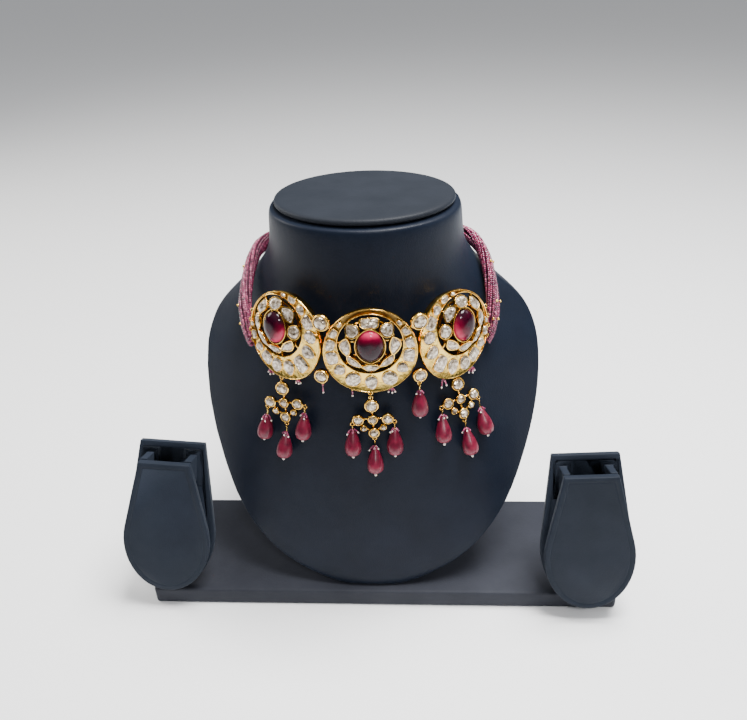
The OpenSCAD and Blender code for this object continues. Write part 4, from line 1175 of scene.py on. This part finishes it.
def front_route(s, t):
    """A curve from the medallion's edge to the side of the neck, steered by its guides."""
    from_middle = Vector((s * START_R * math.cos(START_ANGLE), -START_R * math.sin(START_ANGLE), -DRUM / 2))
    start = discs["left" if s < 0 else "right"] @ from_middle / MM
    end = neck_route(s, SIDE_ANGLE)
    g, h = (Vector(v) for v in guides[s])
    return (start * (1 - t) ** 3 + (start + g) * 3 * t * (1 - t) ** 2
            + (end + h) * 3 * t * t * (1 - t) + end * t ** 3)


def sizes_at(part, t):
    """Width and thickness of the bundle on its front (part 0) or back stretch."""
    if part:
        return BUNDLE_W * (1 - 0.38 * t ** 3), BUNDLE_T
    return (BUNDLE_W * np.interp(t, (0, 0.4, 1), (0.35, 1, 1)),
            BUNDLE_T * np.interp(t, (0, 0.35, 0.8, 1), (0.6, 1.35, 1.15, 1)))


def middle_line(s):
    """Evenly spaced points with their frame and sizes: place, outward, sideways, width, thickness."""
    raw = [(front_route(s, t), *sizes_at(0, t)) for t in (i / 60 for i in range(60))]
    raw += [(neck_route(s, SIDE_ANGLE + (END_ANGLE - SIDE_ANGLE) * i / 90), *sizes_at(1, i / 90))
            for i in range(91)]
    gaps = [(b[0] - a[0]).length for a, b in zip(raw, raw[1:])]
    run = np.concatenate([[0], np.cumsum(gaps)])
    table = np.array([[*p, w, t] for p, w, t in raw])
    steps = np.arange(0, run[-1], 0.2)
    even = np.stack([np.interp(steps, run, table[:, c]) for c in range(5)], axis=1)
    p = even[:, :3]
    tangent = np.gradient(p, axis=0)
    tangent /= np.linalg.norm(tangent, axis=1)[:, None]
    out = p - np.array(neck)
    out[:, 2] = 0
    across = np.cross(tangent, out)
    across /= np.linalg.norm(across, axis=1)[:, None]
    out = np.cross(across, tangent)
    return steps, p, tangent, out, across, even[:, 3], even[:, 4]


lines = {s: middle_line(s) for s in (-1, 1)}
print("bundle lengths", {s: round(float(v[0][-1]), 1) for s, v in lines.items()})

# %% [markdown]
# A seed bead is a short glass ring with rounded ends. It has only a few dozen
# faces, because each bundle holds well over a thousand. Each copy keeps a
# random number on its points, and the finish reads it to shade it.

# %% Bundles
STRANDS, BEAD_R, PITCH = 17, 0.62, 1.06
bead = turned([(0.14, -0.44), (0.42, -0.46), (0.6, -0.2), (0.6, 0.2), (0.42, 0.46), (0.14, 0.44)], 7, 80)


def bundle_points(s, phase, inset, weave):
    """The way of one strand round the middle line."""
    steps, p, _, out, across, w, t = lines[s]
    turn_by = phase + s * 0.034 * steps + weave * np.sin(steps / 9.0 + phase * 3)
    return (p + out * (np.maximum(t / 2 - inset, 0.25) * np.cos(turn_by))[:, None]
            + across * (np.maximum(w / 2 - inset, 0.25) * np.sin(turn_by))[:, None])


def beads_on(points, start, pitch):
    """Places of the beads along a strand, each along its own stretch."""
    run = np.concatenate([[0], np.cumsum(np.linalg.norm(np.diff(points, axis=0), axis=1))])
    at = np.arange(start, run[-1] - 0.4, pitch)
    at = at + np.array([rng.uniform(-0.05, 0.05) for _ in at])
    here = np.stack([np.interp(at, run, points[:, c]) for c in range(3)], axis=1)
    ahead = np.stack([np.interp(at + 0.3, run, points[:, c]) for c in range(3)], axis=1)
    return [(Vector(a), Vector(b - a)) for a, b in zip(here, ahead)]


# A dark core fills the middle of a bundle, painted shade for the thread and the
# inner strands there, and two neighbouring strands start a golden turn apart, so
# that the strands of any few come out evenly spread.
CORE_INSET, CORE_SIDES, GOLDEN_TURN = 1.35, 12, 0.381966
# Share of a bundle's length, and the places of spacer beads round it there
spacer_rows = ((0.10, (20, 75)), (0.17, (-10, 50)), (0.33, (-25, 15, 55)))
spacers = []
for s, side in ((-1, "left"), (1, "right")):
    steps, p, tangent, out, across, w, t = lines[s]
    # The strands that fit side by side round the bundle at each place
    fits = math.pi * ((w + t) / 2 - 2 * BEAD_R) / (2 * BEAD_R)
    matrices, tones = [], []
    for j in range(STRANDS):
        phase = j * math.tau * GOLDEN_TURN
        start = float(steps[np.argmax(fits >= min(j + 0.5, fits.max() * 0.99))])
        strand_tone = rng.uniform(-0.16, 0.16)
        for at, way in beads_on(bundle_points(s, phase, BEAD_R + rng.uniform(-0.08, 0.12), 0.10),
                                start + rng.uniform(0, 1), PITCH):
            matrices.append(along_way(at, way) @ Matrix.Rotation(rng.uniform(0, 1), 4, "Z")
                            @ Matrix.Scale(rng.uniform(0.93, 1.05), 4))
            tones.append(min(1, max(0, rng.gauss(0.5, 0.2) + strand_tone)))
    wear(set_out(bead, matrices, f"{side}_bead_strands", tones), garnet, "garnet_beads", f"{side}_strands")
    rows = []
    for i in range(0, len(steps), 8):
        rx, ry = max(t[i] / 2 - CORE_INSET, 0.3), max(w[i] / 2 - CORE_INSET, 0.3)
        rows.append([p[i] + out[i] * rx * math.cos(a) + across[i] * ry * math.sin(a)
                     for a in (math.tau * j / CORE_SIDES for j in range(CORE_SIDES))])
    faces = skin_of(len(rows), CORE_SIDES)
    faces += [[first + j for j in range(CORE_SIDES)] for first in (0, (len(rows) - 1) * CORE_SIDES)]
    core = built(f"{side}_strand_core", [tuple(v * MM) for row in rows for v in row], faces)
    wear(smooth(outward(core), 60), core_painted_shade, "garnet_beads", f"{side}_strands")
    for share, angles in spacer_rows:
        i = int(share * len(steps))
        for a in map(math.radians, angles):
            spot = (p[i] + out[i] * (t[i] / 2 + 0.05) * math.cos(a)
                    - across[i] * (w[i] / 2 + 0.05) * math.sin(a))
            spacers.append(along_way(Vector(spot), Vector(tangent[i])))
    print(side, "beads", len(matrices))
wear(set_out(gold_seed, [m @ Matrix.Scale(1.25, 4) for m in spacers], "strand_spacers"), gold, "gold")

# %% [markdown]
# ## Caps and clasp
#
# Behind the neck each bundle ends in a turned gold cap, and a barrel clasp
# joins the two. They aren't seen from the front, so they are plain work.

# %% Caps and clasp
behind = Vector((neck.x, neck_route(1, 0).y, BACK_Z))
for s, side in ((-1, "left"), (1, "right")):
    cone = turned([(0, 0), (1.5, 0), (1.72, 0.2), (1.78, 0.8), (1.7, 1.1), (2.1, 1.5), (2.45, 2.5),
                   (2.55, 3.1), (2.62, 3.25), (2.6, 3.55), (2.4, 3.6), (0, 3.5)], 32)
    wear(joined([put(cone, Matrix.Translation(behind * MM) @ spun(90 * s, "Y")
                     @ shifted(0, 0, 3.6 * MM) @ Matrix.Scale(MM, 4))], f"{side}_cap_gold"),
         gold, "gold", f"{side}_end_cap")
barrel_half = [(2.42, 0.55), (2.2, 0.7), (2.2, 1.9), (2.1, 2.1), (2.2, 2.3), (2.1, 2.7), (1.7, 3.3),
               (1.3, 3.5), (0, 3.5)]
barrel = turned([(r, -z) for r, z in reversed(barrel_half)] + [(2.45, 0)] + barrel_half, 32, 30)
wear(joined([put(barrel, Matrix.Translation(behind * MM) @ spun(90, "Y")
                 @ Matrix.Scale(MM, 4))], "barrel_clasp"), gold, "gold", "clasp")
for model in (ball, seed, bugle, gold_seed, bead):
    drop_model(model)

# %% [markdown]
# ## Table and light
#
# The piece stands on a plain white table under a large soft light. The room is
# bright above and dark towards the horizon, so upright faces stay dark and
# polished gold shows both light and dark, which is what makes it look like
# metal. For the same reason the table is painted greyer well in front of the
# piece, where the gold mirrors it: painted shade on a table that is white all
# over. The colour of the sky is worked out from the height of each direction.

# %% Floor, world and lights
TABLE_SIZE, PAINTED_SHADE_FROM, PAINTED_SHADE_TO = 40, -0.25, -0.60
clear()
bpy.ops.mesh.primitive_plane_add(size=TABLE_SIZE, location=(0, 0, 0))
floor = settle(bpy.context.object, "table_floor")
white, tree, skin, coords = new_finish("white_table", Roughness=0.55, Specular_IOR_Level=0.3)
split = tree.nodes.new("ShaderNodeSeparateXYZ")
tree.links.new(coords, split.inputs["Vector"])
# The table is painted grey in front of the piece: painted shade, not a grey table.
ahead = tree.nodes.new("ShaderNodeMapRange")
ahead.inputs["From Min"].default_value, ahead.inputs["From Max"].default_value = PAINTED_SHADE_FROM, PAINTED_SHADE_TO
tree.links.new(split.outputs["Y"], ahead.inputs["Value"])
coloured(tree, skin, ahead.outputs["Result"], [(0.0, (0.93, 0.93, 0.93)), (1.0, (0.20, 0.20, 0.21)),
                                               (0.4, (0.62, 0.62, 0.63))])
floor.data.materials.append(white)

world = bpy.data.worlds.new("studio")
bpy.context.scene.world = world
world.use_nodes = True
room = world.node_tree
look_up = room.nodes.new("ShaderNodeSeparateXYZ")
room.links.new(room.nodes.new("ShaderNodeTexCoord").outputs["Generated"], look_up.inputs["Vector"])
sky = ramp(room, look_up.outputs["Z"], [(0.0, (0.030, 0.032, 0.037)), (1.0, (1.0, 1.0, 1.0)),
                                        (0.30, (0.10, 0.105, 0.12)), (0.65, (0.62, 0.64, 0.68))])
room.links.new(sky, room.nodes["Background"].inputs["Color"])
room.nodes["Background"].inputs["Strength"].default_value = 0.7


def softbox(name, at, aim, size, power, colour=(1, 1, 1)):
    lamp = bpy.data.lights.new(name, "AREA")
    lamp.shape, lamp.size, lamp.size_y = "RECTANGLE", size[0], size[1]
    lamp.energy, lamp.color = power, colour
    o = bpy.data.objects.new(name, lamp)
    o.location = at
    o.rotation_euler = (Vector(aim) - Vector(at)).to_track_quat("-Z", "Y").to_euler()
    bpy.context.scene.collection.objects.link(o)


softbox("ceiling", (0.22, 0.02, 0.95), (0, 0.02, 0.1), (0.50, 0.40), 25.0)
softbox("window", (-0.95, 0.30, 0.60), (0, 0, 0.12), (0.5, 0.5), 7.0, (1.0, 0.97, 0.92))
softbox("side", (0.90, 0.25, 0.75), (0, 0, 0.12), (0.4, 0.4), 1.5, (0.95, 0.97, 1.0))
softbox("sparkle", (0.25, -0.85, 0.95), (0, 0, 0.13), (0.16, 0.16), 6.0)
